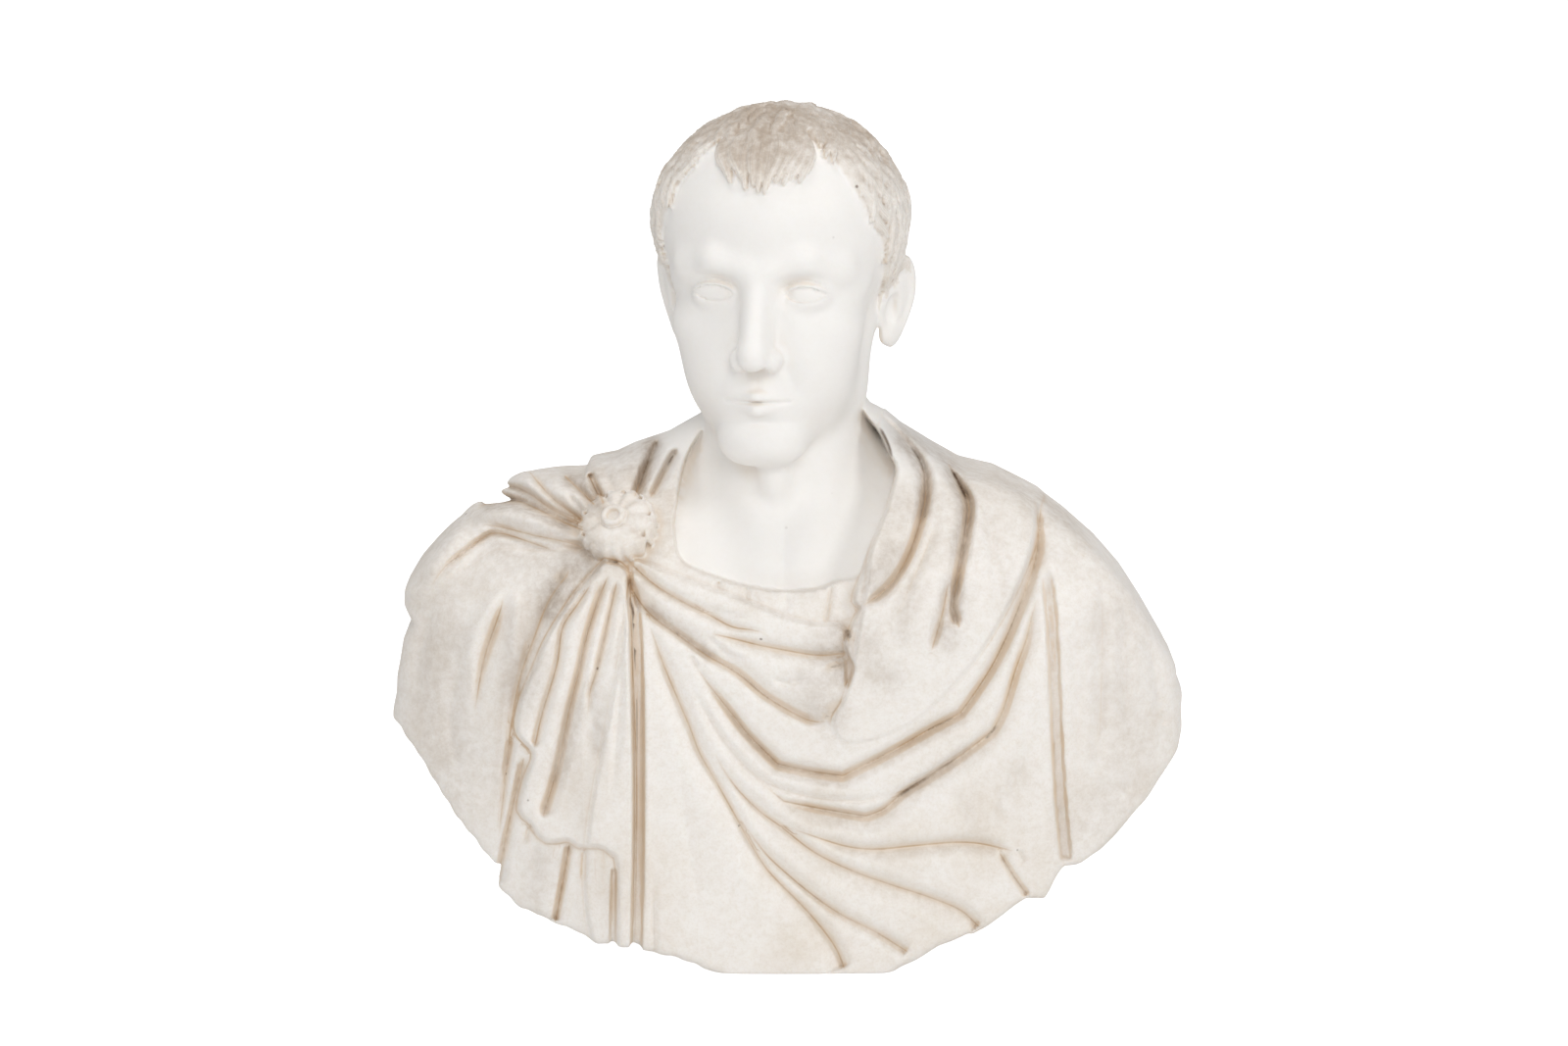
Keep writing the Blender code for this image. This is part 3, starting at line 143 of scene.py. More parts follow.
def smooth_route(points, step):
    """Points along a curve through the given ones, about one step apart."""
    p = np.array(points, float)
    if len(p) == 2:
        count = max(2, int(np.hypot(*(p[1] - p[0])) / step) + 1)
        t = np.linspace(0, 1, count)[:, None]
        return p[0] + (p[1] - p[0]) * t
    ends = np.vstack([2 * p[0] - p[1], p, 2 * p[-1] - p[-2]])
    out = []
    for i in range(len(p) - 1):
        a, b, c, d = ends[i : i + 4]
        count = max(1, int(np.hypot(*(c - b)) / step))
        t = (np.arange(count) / count)[:, None]
        out.append(0.5 * (2 * b + (c - a) * t + (2 * a - 5 * b + 4 * c - d) * t**2
                          + (3 * b - a - 3 * c + d) * t**3))
    out.append(p[-1:])
    return np.vstack(out)


def near_route(route, gu, gv):
    """Signed distance to a route, positive right of the way, and the share of its length."""
    best = np.full(gu.shape, 1e9)
    side = np.zeros(gu.shape)
    share = np.zeros(gu.shape)
    d = np.diff(route, axis=0)
    lengths = np.hypot(d[:, 0], d[:, 1]) + 1e-9
    done = np.concatenate([[0], np.cumsum(lengths)])
    for i in range(len(d)):
        ru, rv = gu - route[i, 0], gv - route[i, 1]
        t = np.clip((ru * d[i, 0] + rv * d[i, 1]) / lengths[i] ** 2, 0, 1)
        gap = np.hypot(ru - t * d[i, 0], rv - t * d[i, 1])
        turn = d[i, 0] * rv - d[i, 1] * ru
        closer = gap < best
        best = np.where(closer, gap, best)
        side = np.where(closer, np.sign(turn), side)
        share = np.where(closer, (done[i] + t * lengths[i]) / done[-1], share)
    return best * np.where(side == 0, 1, side), share


def inside_of(points, gu, gv):
    """True inside the closed outline."""
    hit = np.zeros(gu.shape, bool)
    p = np.array(points, float)
    for a, b in zip(p, np.roll(p, -1, axis=0)):
        if a[1] == b[1]:
            continue
        crosses = (a[1] > gv) != (b[1] > gv)
        at = a[0] + (gv - a[1]) * (b[0] - a[0]) / (b[1] - a[1])
        hit ^= crosses & (gu < at)
    return hit


class Sheet:
    """A height map over the drawing plane, or over any flat rectangle, with maps of its grime and painted
    shade, and of its strands.
    """

    def __init__(self, u0, v0, u1, v1, step, soft=0.8):
        self.u0, self.v0, self.step = u0, v0, step
        self.soft = soft
        self.u = np.arange(u0, u1 + step, step, dtype=float)
        self.v = np.arange(v0, v1 + step, step, dtype=float)
        shape = (len(self.u), len(self.v))
        self.h, self.dirt, self.smoke, self.comb = (np.zeros(shape) for _ in range(4))
        self.line = np.full(shape, 99.0)

    def window(self, points, reach):
        p = np.array(points, float)
        low = (p.min(axis=0) - reach - [self.u0, self.v0]) / self.step
        high = (p.max(axis=0) + reach - [self.u0, self.v0]) / self.step
        i0, j0 = np.maximum(low.astype(int), 0)
        i1, j1 = np.maximum(high.astype(int) + 2, 0)
        part = (slice(i0, i1), slice(j0, j1))
        gu, gv = np.meshgrid(self.u[part[0]], self.v[part[1]], indexing="ij")
        return part, gu, gv

    def along(self, points, reach, step=6.0):
        """The window around a route, the signed distance to it and the share of its length."""
        route = smooth_route(points, step)
        part, gu, gv = self.window(route, reach)
        return (part, *near_route(route, gu, gv))

    def at(self, u, v, kind="h"):
        fu = np.clip((u - self.u0) / self.step, 0, len(self.u) - 1.001)
        fv = np.clip((v - self.v0) / self.step, 0, len(self.v) - 1.001)
        i, j = fu.astype(int), fv.astype(int)
        a, b = fu - i, fv - j
        h = getattr(self, kind)
        return ((h[i, j] * (1 - a) + h[i + 1, j] * a) * (1 - b)
                + (h[i, j + 1] * (1 - a) + h[i + 1, j + 1] * a) * b)

    # The dirt map holds the listed stains, which are grime, and amounts laid along creases, grooves and
    # layer edges, which are painted shade.
    def lay_dirt_and_shade(self, part, amount):
        self.dirt[part] = np.maximum(self.dirt[part], amount)

    def note_line(self, part, away):
        """Keeps the signed distance to the nearest crease, which draws a thin brown line of grime and
        painted shade.
        """
        self.line[part] = np.where(np.abs(away) < np.abs(self.line[part]), away, self.line[part])

    def crease(self, points, deep, right, left, start, end):
        """A valley between two round folds, right and left wide, narrowing and rising towards its ends."""
        part, s, t = self.along(points, max(right, left) + 4.0, 5.0)
        grown = fade_ends(t, start, end)
        wide = np.maximum(np.where(s > 0, right, left) * (0.35 + 0.65 * grown), 1.5 * self.soft)
        gap = np.sqrt(s * s + self.soft**2) - self.soft * 0.5
        valley = 0.84 * np.clip(1 - gap / wide, 0, 1) ** 2 + 0.16 * np.exp(-gap / 1.8)
        self.h[part] -= FOLD_DEPTH * deep * grown * valley
        # Painted shade in a narrow band along the valley, darker for deeper creases; it also sets how
        # strongly the thin line is drawn.
        self.lay_dirt_and_shade(part, np.sqrt(grown) * np.exp(-((s / 4.2) ** 2)) * min(0.5, 0.9 * ramp(deep, 2.0, 16.0)))
        self.note_line(part, s)

    def ridge(self, points, high, wide, fade=0.3):
        part, s, t = self.along(points, 3.0 * wide)
        self.h[part] += high * fade_ends(t, fade, fade) * np.exp(-((s / wide) ** 2))

    def slot(self, points, deep, half, edge, fade=0.08):
        """A deep carved groove with steep sides and a narrow floor."""
        edge = max(edge, self.soft)
        part, s, t = self.along(points, half + edge * 2)
        ends = fade_ends(t, fade, 0.3 * fade)
        floor = half * (0.35 + 0.65 * ends)
        self.h[part] -= FOLD_DEPTH * deep * ends * (1 - ramp(np.abs(s), floor, half + edge))
        # Faint painted shade along the groove's floor.
        self.lay_dirt_and_shade(part, 0.14 * ends * np.exp(-((s / (half + 2.0)) ** 2)))

    def raised(self, points, high, edge, thick_at=None, thin_at=None, loss=0.0):
        """A layer lying on the one below, with a steep edge, thinner by a share towards thin_at."""
        route = smooth_route(list(points) + [points[0]], 6.0)
        edge = max(edge, self.soft)
        part, gu, gv = self.window(route, edge * 2 + 12)
        s, _ = near_route(route, gu, gv)
        gap = np.abs(s) * np.where(inside_of(route, gu, gv), 1, -1)
        tall = high
        if thick_at is not None:
            du, dv = thin_at[0] - thick_at[0], thin_at[1] - thick_at[1]
            along = ((gu - thick_at[0]) * du + (gv - thick_at[1]) * dv) / (du * du + dv * dv)
            tall = high * (1 - loss * ramp(along, 0.0, 1.0))
        self.h[part] += tall * ramp(gap, -edge * 0.5, edge)
        # Painted shade along the foot of the layer's edge, where the thin line is drawn too.
        self.lay_dirt_and_shade(part, 0.03 * np.minimum(tall, 12.0) * np.exp(-(((gap + edge) / 3.2) ** 2)))
        self.note_line(part, gap + edge)

    def stain(self, points, wide, amount):
        """Dirt that has gathered along a line."""
        part, s, t = self.along(points, 2.5 * wide)
        ends = ramp(t, -0.2, 0.25) * ramp(1 - t, -0.2, 0.25)
        self.lay_dirt_and_shade(part, amount * ends * np.exp(-((s / wide) ** 2)))

    def chip(self, u, v, wide, deep):
        """A shallow broken place with clean stone in it."""
        part, gu, gv = self.window([(u, v)], 3.0 * wide)
        away = np.hypot(gu - u, gv - v) / wide
        jagged = 1.0 + 0.25 * np.sin(3.0 * np.arctan2(gv - v, gu - u) + u)
        self.h[part] -= deep * np.exp(-((away / jagged) ** 4))
        self.smoke[part] *= 1 - np.exp(-((away / 1.2) ** 4))

    def smudge(self, points, wide, amount):
        """A broad patch of grime along a line."""
        part, s, _ = self.along(points, 2.2 * wide, 12.0)
        self.smoke[part] = np.maximum(self.smoke[part], amount * np.exp(-((s / wide) ** 2)))


# Outline of the body below the head, on the drawing plane
SHOULDER_LEFT = [(716, 425), (682, 441), (646, 452), (629, 461), (602, 464), (598, 478), (566, 477),
                 (533, 477), (504, 487), (477, 502), (467, 524), (449, 544), (431, 565), (417, 589),
                 (415, 604), (427, 617), (417, 636), (412, 667), (405, 718)]
CUT_LEFT = [(405, 718), (409, 737), (441, 783), (466, 825), (487, 854), (511, 881), (509, 899), (533, 922),
            (569, 937), (605, 955), (651, 961), (711, 979)]
CUT_FOOT = [(711, 979), (750, 984), (778, 988), (824, 987), (863, 982), (899, 979)]
CUT_RIGHT = [(899, 979), (959, 959), (993, 946), (1032, 919), (1047, 910), (1064, 910), (1085, 878),
             (1101, 873), (1121, 859), (1157, 820), (1184, 783), (1202, 757)]
SHOULDER_RIGHT = [(1202, 757), (1203, 727), (1201, 694), (1194, 662), (1167, 616), (1145, 582), (1118, 550),
                  (1086, 520), (1059, 500), (1014, 477), (980, 470), (951, 453), (920, 433), (900, 415),
                  (889, 409)]


def lip_depth(u):
    """Depth of the front lip of the lower cut."""
    return -112.0 * math.sqrt(max(0.0, 1.0 - ((u - AIM_X) / 408.0) ** 2))


def outline_sheet(step, ragged):
    """Signed distance, negative inside, to the outline of the body over X and Z."""
    points = []
    for route in (SHOULDER_RIGHT, CUT_RIGHT, CUT_FOOT, CUT_LEFT, SHOULDER_LEFT):
        for u, v in route[:0:-1]:
            x, z = placed(u, v, 10.0 if route in (SHOULDER_RIGHT, SHOULDER_LEFT) else lip_depth(u))
            if route is CUT_FOOT:
                z = min(z, 0.0) - 6.0
            points.append((x, z))
    points += [(-62.0, 386.0), (-62.0, 470.0), (64.0, 470.0)]
    sheet = Sheet(-330.0, -40.0, 330.0, 480.0, step)
    route = np.array(points + points[:1])
    gu, gv = np.meshgrid(sheet.u, sheet.v, indexing="ij")
    s, _ = near_route(route, gu, gv)
    sheet.h = np.abs(s) * np.where(inside_of(points, gu, gv), -1, 1)
    # The cut is a little wavy, as broken and worn stone is
    wave = np.sin(gu / 6.3 + 1.4 * np.sin(gv / 9.0)) + 0.6 * np.sin(gu / 2.9 - gv / 4.1)
    sheet.h += ragged * (wave + 0.5 * np.sin(gv / 7.7)) * (1 - ramp(gv, 190, 230))
    return sheet


# Folds of the tunic and the cloak, on the drawing plane
NECKLINE = [(716, 440), (702, 462), (694, 490), (689, 522), (688, 540), (696, 571), (733, 588), (766, 597),
            (800, 602), (836, 599), (853, 592), (876, 587), (885, 563), (895, 542), (906, 514), (915, 479),
            (909, 465), (898, 442), (886, 428), (877, 414), (874, 400), (874, 260), (723, 260), (723, 425)]
BUNDLE = [(617, 571), (600, 590), (582, 612), (558, 650), (545, 680), (530, 717), (527, 746), (544, 768),
          (535, 795), (529, 826), (540, 838), (549, 852), (557, 858), (569, 858), (580, 856), (590, 863),
          (604, 863), (617, 865), (625, 872), (630, 886), (631, 990), (643, 990), (646, 910), (647, 814),
          (646, 756), (643, 680), (641, 620), (638, 580)]
CLOAK_RIGHT = [(874, 380), (877, 414), (886, 428), (898, 442), (909, 465), (915, 479), (906, 514),
               (895, 542), (884, 575), (873, 602), (871, 613), (878, 620), (871, 633), (867, 647),
               (862, 655), (865, 668), (872, 681), (865, 700), (860, 717), (850, 734), (856, 752),
               (865, 758), (881, 756), (907, 748), (935, 734), (963, 709), (991, 678), (1022, 630),
               (1046, 580), (1058, 530), (1060, 400)]
CLOAK_CHEST = [(645, 568), (696, 588), (733, 602), (763, 613), (803, 629), (834, 636), (856, 636),
               (862, 642), (866, 700), (884, 600), (930, 380), (1240, 380), (1240, 1010), (640, 1010)]
GATHERS = [(468, 520), (470, 500), (535, 470), (600, 480), (604, 545), (560, 556), (500, 556), (450, 600),
           (420, 612), (410, 590)]


# Where grime lies on the cloth: a line, how far it spreads and how dark it is
GRIME = (
    ([(450, 640), (445, 700), (470, 790)], 42.0, 0.34),
    ([(470, 540), (520, 520), (580, 540)], 30.0, 0.30),
    ([(596, 566), (576, 588), (560, 620)], 20.0, 0.95),
    ([(560, 575), (540, 640), (530, 700)], 26.0, 0.45),
    ([(500, 555), (540, 575), (580, 578)], 16.0, 0.40),
    ([(430, 640), (470, 600), (520, 580)], 22.0, 0.25),
    ([(498, 514), (530, 514), (575, 535)], 11.0, 0.90),
    ([(490, 500), (540, 505), (590, 525)], 16.0, 0.40),
    ([(470, 528), (440, 580), (425, 605)], 12.0, 0.30),
    ([(580, 490), (604, 500), (612, 512)], 11.0, 0.85),
    ([(608, 470), (640, 462)], 12.0, 0.60),
    ([(664, 452), (652, 495)], 12.0, 0.90),
    ([(615, 482), (655, 472)], 20.0, 0.60),
    ([(1130, 640), (1150, 760), (1120, 840)], 42.0, 0.26),
    ([(684, 470), (674, 500), (680, 545)], 9.0, 0.40),
    ([(664, 622), (700, 650), (722, 668)], 7.0, 0.65),
    ([(845, 660), (830, 700), (845, 725)], 20.0, 0.50),
    ([(856, 640), (862, 668), (855, 690)], 10.0, 0.85),
    ([(882, 612), (895, 585), (910, 560)], 14.0, 0.55),
    ([(880, 640), (890, 680), (905, 690)], 18.0, 0.40),
    ([(920, 450), (942, 478), (942, 520)], 10.0, 0.80),
    ([(965, 470), (985, 510), (980, 560)], 13.0, 0.75),
    ([(975, 600), (965, 650)], 15.0, 0.60),
    ([(930, 600), (920, 640)], 16.0, 0.35),
    ([(925, 440), (975, 470), (1045, 495), (1100, 535)], 16.0, 0.60),
    ([(1000, 500), (1020, 560), (1030, 600)], 24.0, 0.30),
    ([(1090, 560), (1130, 600), (1160, 650)], 26.0, 0.25),
    ([(925, 808), (955, 790), (985, 768)], 8.0, 0.55),
    ([(590, 720), (570, 790)], 12.0, 0.35),
    ([(612, 760), (606, 700)], 10.0, 0.35),
    ([(551, 880), (540, 940)], 16.0, 0.25),
    ([(1000, 830), (1040, 790)], 20.0, 0.20),
)
# Small pits and scratches that hold dirt: a short line and its half width
PITS = (
    ([(1108, 552), (1108, 554)], 1.8), ([(1106, 566), (1106, 568)], 1.5), ([(939, 446), (939, 449)], 2.0),
    ([(1083, 638), (1083, 640)], 1.6), ([(735, 883), (743, 892)], 1.0), ([(762, 912), (768, 916)], 0.8),
    ([(599, 705), (600, 707)], 1.6), ([(688, 797), (689, 799)], 1.2), ([(598, 673), (598, 675)], 1.2),
)
# Chipped places, bare and white: where, how wide and how deep
CHIPS = (((1188, 722), 5.0, 1.6), ((1187, 738), 4.0, 1.4), ((1146, 812), 3.4, 1.0), ((1152, 806), 2.2, 0.8))


# Each fold is its route, its depth, its width to the right and left, and how far its ends fade
def fold_sheet(step, soft):
    """The carved front: broad layers first, then their folds and what lies on them."""
    sheet = Sheet(390.0, 390.0, 1216.0, 1004.0, step, soft)
    sheet.h += 4.0
    sheet.raised(CLOAK_CHEST, 6.0, 3.0)
    sheet.raised(BUNDLE, 12.0, 2.5, (610, 850), (630, 975), 0.55)
    sheet.raised(CLOAK_RIGHT, 10.0, 2.5, (885, 650), (915, 745), 0.72)
    sheet.raised(GATHERS, 5.0, 6.0)
    shoulder_folds(sheet)
    bundle_folds(sheet)
    chest_folds(sheet)
    right_folds(sheet)
    for points, wide, amount in GRIME:
        sheet.smudge(points, wide, amount)
    for points, wide in PITS:
        sheet.stain(points, wide, 1.0)
    for (u, v), wide, deep in CHIPS:
        sheet.chip(u, v, wide, deep)
    return sheet


def shoulder_folds(sheet):
    """Gathers that fan out from the brooch, and the sleeve below them."""
    for points, high, wide in (
        ([(472, 528), (492, 524), (520, 526), (550, 534), (585, 546)], 5.0, 11.0),
        ([(482, 532), (462, 548), (442, 572), (424, 596)], 6.0, 13.0),
        ([(500, 484), (530, 486), (556, 500), (580, 520)], 4.0, 11.0),
    ):
        sheet.ridge(points, high, wide)
    for fold in (
        ([(537, 477), (559, 503), (573, 515), (594, 530)], 10, 13, 15, 0.3, 0.0),
        ([(577, 500), (587, 512), (597, 525)], 5, 7, 7, 0.4, 0.0),
        ([(500, 494), (526, 497), (543, 505), (563, 519), (592, 533)], 9, 13, 13, 0.4, 0.0),
        ([(480, 522), (497, 513), (514, 510), (531, 511), (551, 520), (575, 532), (594, 540)], 14, 12, 16,
         0.3, 0.0),
        ([(484, 534), (506, 536), (523, 540), (547, 546), (580, 553), (600, 560)], 8, 12, 18, 0.3, 0.1),
        ([(584, 568), (545, 554), (508, 543), (490, 550), (475, 561), (467, 567), (451, 581), (427, 617)],
         9, 8, 20, 0.35, 0.6),
        ([(575, 484), (590, 498), (606, 514)], 9, 8, 8, 0.1, 0.0),
        ([(600, 482), (607, 497), (616, 512)], 9, 7, 9, 0.1, 0.0),
        # The sleeve
        ([(514, 600), (512, 616), (505, 638), (496, 664), (490, 690), (483, 735)], 11, 11, 22, 0.35, 0.5),
        ([(517, 655), (514, 720), (508, 790), (501, 855)], 1.6, 5, 5, 0.3, 0.3),
        ([(482, 640), (466, 690), (460, 740), (470, 800)], 4, 20, 20, 0.4, 0.4),
        ([(446, 612), (430, 660), (424, 715)], 4, 18, 18, 0.3, 0.4),
        ([(580, 584), (560, 612), (545, 650), (531, 690), (522, 735), (516, 790), (508, 860)], 10, 34, 9,
         0.15, 0.2),
        # Cloth between the brooch and the neck
        ([(674, 443), (665, 462), (655, 485), (648, 505)], 13, 8, 14, 0.2, 0.0),
        ([(692, 455), (684, 468), (674, 487), (663, 508)], 11, 7, 9, 0.15, 0.1),
        ([(722, 431), (712, 453), (700, 474), (692, 500)], 5, 5, 6, 0.2, 0.3),
        ([(612, 470), (622, 490), (628, 506)], 3, 10, 10, 0.3, 0.1),
    ):
        sheet.crease(*fold)
    sheet.ridge([(520, 592), (504, 612), (486, 645), (470, 690)], 4.0, 9.0)
    sheet.ridge([(521, 592), (527, 612), (527, 645), (523, 690)], 4.0, 8.0)
    for points, wide, amount in (
        ([(560, 519), (594, 540)], 2.4, 0.7),
        ([(600, 484), (612, 508)], 2.4, 0.75),
        ([(664, 462), (650, 502)], 2.2, 0.8),
        ([(688, 462), (680, 476)], 1.8, 0.9),
        ([(578, 583), (568, 592)], 6.0, 0.7),
    ):
        sheet.stain(points, wide, amount)


def bundle_folds(sheet):
    """The bundle that hangs from the brooch, its hem, and what shows under it."""
    for fold in (
        ([(604, 594), (590, 615), (574, 640), (568, 678), (553, 728), (545, 764)], 9, 12, 9, 0.1, 0.05),
        ([(622, 583), (608, 618), (597, 655), (591, 683), (580, 728), (568, 785), (553, 836)], 13, 13, 14,
         0.1, 0.05),
        ([(630, 590), (622, 625), (616, 652), (608, 686), (602, 706), (598, 745)], 10, 10, 12, 0.1, 0.5),
        ([(604, 715), (607, 755), (613, 800)], 4, 14, 12, 0.4, 0.5),
        ([(636, 600), (634, 680), (629, 760), (623, 830)], 4, 9, 9, 0.1, 0.3),
        ([(613, 577), (590, 602), (572, 628)], 6, 8, 7, 0.1, 0.4),
        # Below the hem
        ([(581, 860), (574, 900), (567, 938)], 11, 8, 7, 0.05, 0.0),
        ([(597, 867), (596, 884), (595, 908)], 5, 8, 8, 0.05, 0.5),
        ([(524, 752), (519, 774), (514, 796)], 7, 8, 6, 0.1, 0.4),
        ([(535, 770), (525, 812), (513, 869), (508, 898)], 10, 7, 12, 0.1, 0.0),
        ([(542, 840), (536, 864)], 6, 6, 6, 0.05, 0.4),
        ([(550, 862), (543, 892)], 4, 9, 9, 0.2, 0.4),
        ([(669, 888), (667, 925), (668, 970)], 4, 5, 5, 0.4, 0.0),
    ):
        sheet.crease(*fold)
    sheet.slot([(627, 884), (626, 920), (625, 985)], 6.0, 1.8, 2.5, 0.05)
    sheet.slot([(641, 598), (647, 618), (650, 680), (651, 760), (651, 850), (650, 930), (648, 990)],
               8.5, 4.2, 3.4, 0.05)
    sheet.ridge([(661, 640), (660, 760), (659, 960)], 2.5, 6.0)
    sheet.stain([(640, 603), (645, 618), (648, 650), (649, 690)], 2.8, 1.0)
    sheet.stain([(649, 690), (650, 740), (649, 790)], 1.8, 0.8)
    sheet.stain([(626, 900), (625, 940)], 1.2, 0.7)


def chest_folds(sheet):
    """The edge of the cloak under the neck, the swags over the chest and the folds to the lower cut."""
    for fold in (
        # The tunic's yoke
        ([(733, 590), (733, 605)], 5, 5, 5, 0.3, 0.2),
        ([(760, 596), (763, 614)], 5, 6, 6, 0.3, 0.2),
        ([(800, 603), (803, 624)], 3, 8, 8, 0.3, 0.2),
        ([(850, 594), (842, 636)], 6, 6, 6, 0.2, 0.1),
        # Under the edge of the cloak
        ([(644, 575), (668, 596), (696, 613), (724, 627), (747, 639), (766, 642), (790, 647)], 9, 10, 11,
         0.05, 0.3),
        ([(712, 616), (730, 622), (747, 627), (772, 627)], 4, 6, 6, 0.3, 0.4),
        ([(716, 644), (744, 650), (772, 657), (797, 662), (834, 668), (862, 666)], 10, 17, 13, 0.3, 0.0),
        ([(718, 647), (733, 658), (747, 668), (768, 672)], 5, 8, 6, 0.2, 0.4),
        ([(638, 586), (651, 611), (668, 630), (696, 650), (721, 668), (752, 686), (780, 709), (808, 726),
          (828, 735), (846, 736)], 12, 9, 22, 0.05, 0.1),
        ([(784, 690), (803, 696), (824, 690)], 5, 8, 5, 0.3, 0.3),
        ([(704, 667), (712, 682)], 5, 5, 5, 0.2, 0.3),
        # Swags, straight between their corners
        ([(702, 668), (721, 695), (741, 720), (763, 748), (794, 779), (794, 779), (825, 786), (860, 791),
          (860, 791), (909, 766), (951, 742), (980, 727), (980, 727), (999, 700), (1016, 672), (1033, 636),
          (1047, 599), (1055, 577), (1060, 548), (1058, 512)], 15, 17, 12, 0.15, 0.1),
        ([(700, 690), (721, 728), (741, 759), (766, 787), (786, 800), (814, 810), (848, 816), (881, 816),
          (909, 810), (937, 801)], 6, 10, 9, 0.25, 0.3),
        ([(768, 790), (784, 804), (800, 817), (800, 817), (836, 824), (883, 832), (883, 832), (901, 825),
          (923, 807), (951, 790), (982, 769), (1013, 745), (1013, 745), (1024, 723), (1036, 684),
          (1047, 653), (1054, 625), (1062, 600)], 15, 26, 10, 0.2, 0.15),
        # Folds that run down to the cut
        ([(660, 630), (676, 675), (690, 709), (704, 742), (714, 768), (733, 801), (752, 835), (763, 855),
          (780, 883), (797, 902), (820, 925), (839, 947), (853, 967), (861, 986)], 11, 28, 14, 0.15, 0.0),
        ([(756, 836), (780, 869), (803, 891), (831, 914), (859, 933), (893, 950), (925, 970)], 9, 13, 13,
         0.3, 0.0),
        ([(722, 750), (735, 779), (752, 804), (775, 827), (797, 843), (831, 869), (870, 888), (909, 902),
          (949, 915), (980, 928), (998, 944)], 10, 24, 14, 0.3, 0.0),
        ([(798, 841), (831, 853), (864, 863), (893, 866), (926, 863), (971, 859), (999, 860), (1027, 866),
          (1041, 869)], 9, 20, 13, 0.3, 0.15),
        ([(1018, 866), (1033, 891), (1048, 912)], 8, 9, 7, 0.2, 0.0),
        ([(1040, 868), (1046, 881)], 5, 5, 5, 0.1, 0.3),
        ([(690, 760), (700, 840), (714, 930)], 2.5, 26, 26, 0.4, 0.3),
        ([(1060, 700), (1052, 760), (1036, 800), (1020, 826)], 4, 16, 18, 0.4, 0.4),
        ([(985, 800), (975, 822), (990, 842)], 2.5, 14, 14, 0.4, 0.4),
    ):
        sheet.crease(*fold)
    for points, wide, amount in (
        ([(845, 682), (860, 676)], 5.0, 0.8),
        ([(838, 734), (848, 728), (858, 712)], 3.0, 0.75),
        ([(863, 640), (868, 652)], 5.0, 0.9),
        ([(905, 822), (925, 806), (951, 790), (985, 767)], 3.6, 0.85),
        ([(1004, 755), (1013, 745), (1018, 738)], 3.0, 0.9),
        ([(940, 748), (962, 737), (978, 729)], 2.2, 0.8),
        ([(1012, 680), (1033, 636), (1047, 599)], 2.0, 0.75),
        ([(660, 625), (690, 646), (720, 668)], 4.0, 0.45),
    ):
        sheet.stain(points, wide, amount)


def right_folds(sheet):
    """Gathers over the right-hand shoulder and the upright folds over the arm."""
    for fold in (
        ([(893, 417), (914, 437), (933, 459), (944, 481), (944, 510), (936, 542), (923, 574), (904, 600),
          (876, 621)], 15, 12, 12, 0.1, 0.1),
        ([(962, 463), (978, 491), (989, 514), (985, 549), (978, 587), (973, 619), (979, 640)], 17, 14, 10,
         0.15, 0.05),
        ([(968, 590), (963, 620), (957, 642), (950, 666)], 9, 10, 9, 0.3, 0.2),
        ([(958, 512), (949, 549), (932, 590), (914, 630), (905, 660)], 6, 14, 10, 0.3, 0.4),
        ([(1003, 512), (1012, 545), (1016, 575), (1024, 604)], 4, 14, 12, 0.3, 0.4),
        ([(930, 640), (912, 672), (890, 705)], 3, 16, 16, 0.4, 0.4),
        ([(1045, 494), (1056, 512), (1060, 540)], 6, 8, 14, 0.2, 0.2),
        # Over the arm
        ([(1124, 580), (1125, 650), (1124, 700), (1122, 748), (1114, 810)], 6, 14, 20, 0.3, 0.4),
        ([(1145, 600), (1148, 650), (1148, 700), (1150, 750)], 5, 14, 14, 0.4, 0.4),
        ([(1168, 640), (1180, 690), (1182, 745)], 4, 12, 14, 0.4, 0.4),
        ([(1096, 630), (1099, 720), (1100, 810)], 3, 12, 14, 0.4, 0.4),
    ):
        sheet.crease(*fold)
    sheet.slot([(1066, 574), (1072, 619), (1075, 667), (1077, 715), (1079, 763), (1082, 812), (1088, 880)],
               9.0, 4.0, 3.6, 0.1)
    for points, wide, amount in (
        ([(896, 432), (906, 452), (911, 470)], 3.5, 0.9),
        ([(926, 450), (938, 468), (944, 486)], 3.2, 0.8),
        ([(944, 500), (936, 542), (920, 578)], 2.6, 0.6),
        ([(968, 474), (978, 491), (988, 512)], 2.6, 0.95),
        ([(986, 516), (984, 550), (978, 590)], 3.0, 0.65),
        ([(975, 600), (973, 619), (979, 640)], 2.0, 0.85),
        ([(1070, 600), (1074, 640), (1076, 700)], 1.8, 0.70),
    ):
        sheet.stain(points, wide, amount)


def neckline_sheet(step):
    """How far the cloth is cut back where the neck and the upper chest show."""
    sheet = Sheet(600.0, 200.0, 1000.0, 640.0, step)
    sheet.raised(NECKLINE, NECK_CUT, 3.0)
    return sheet


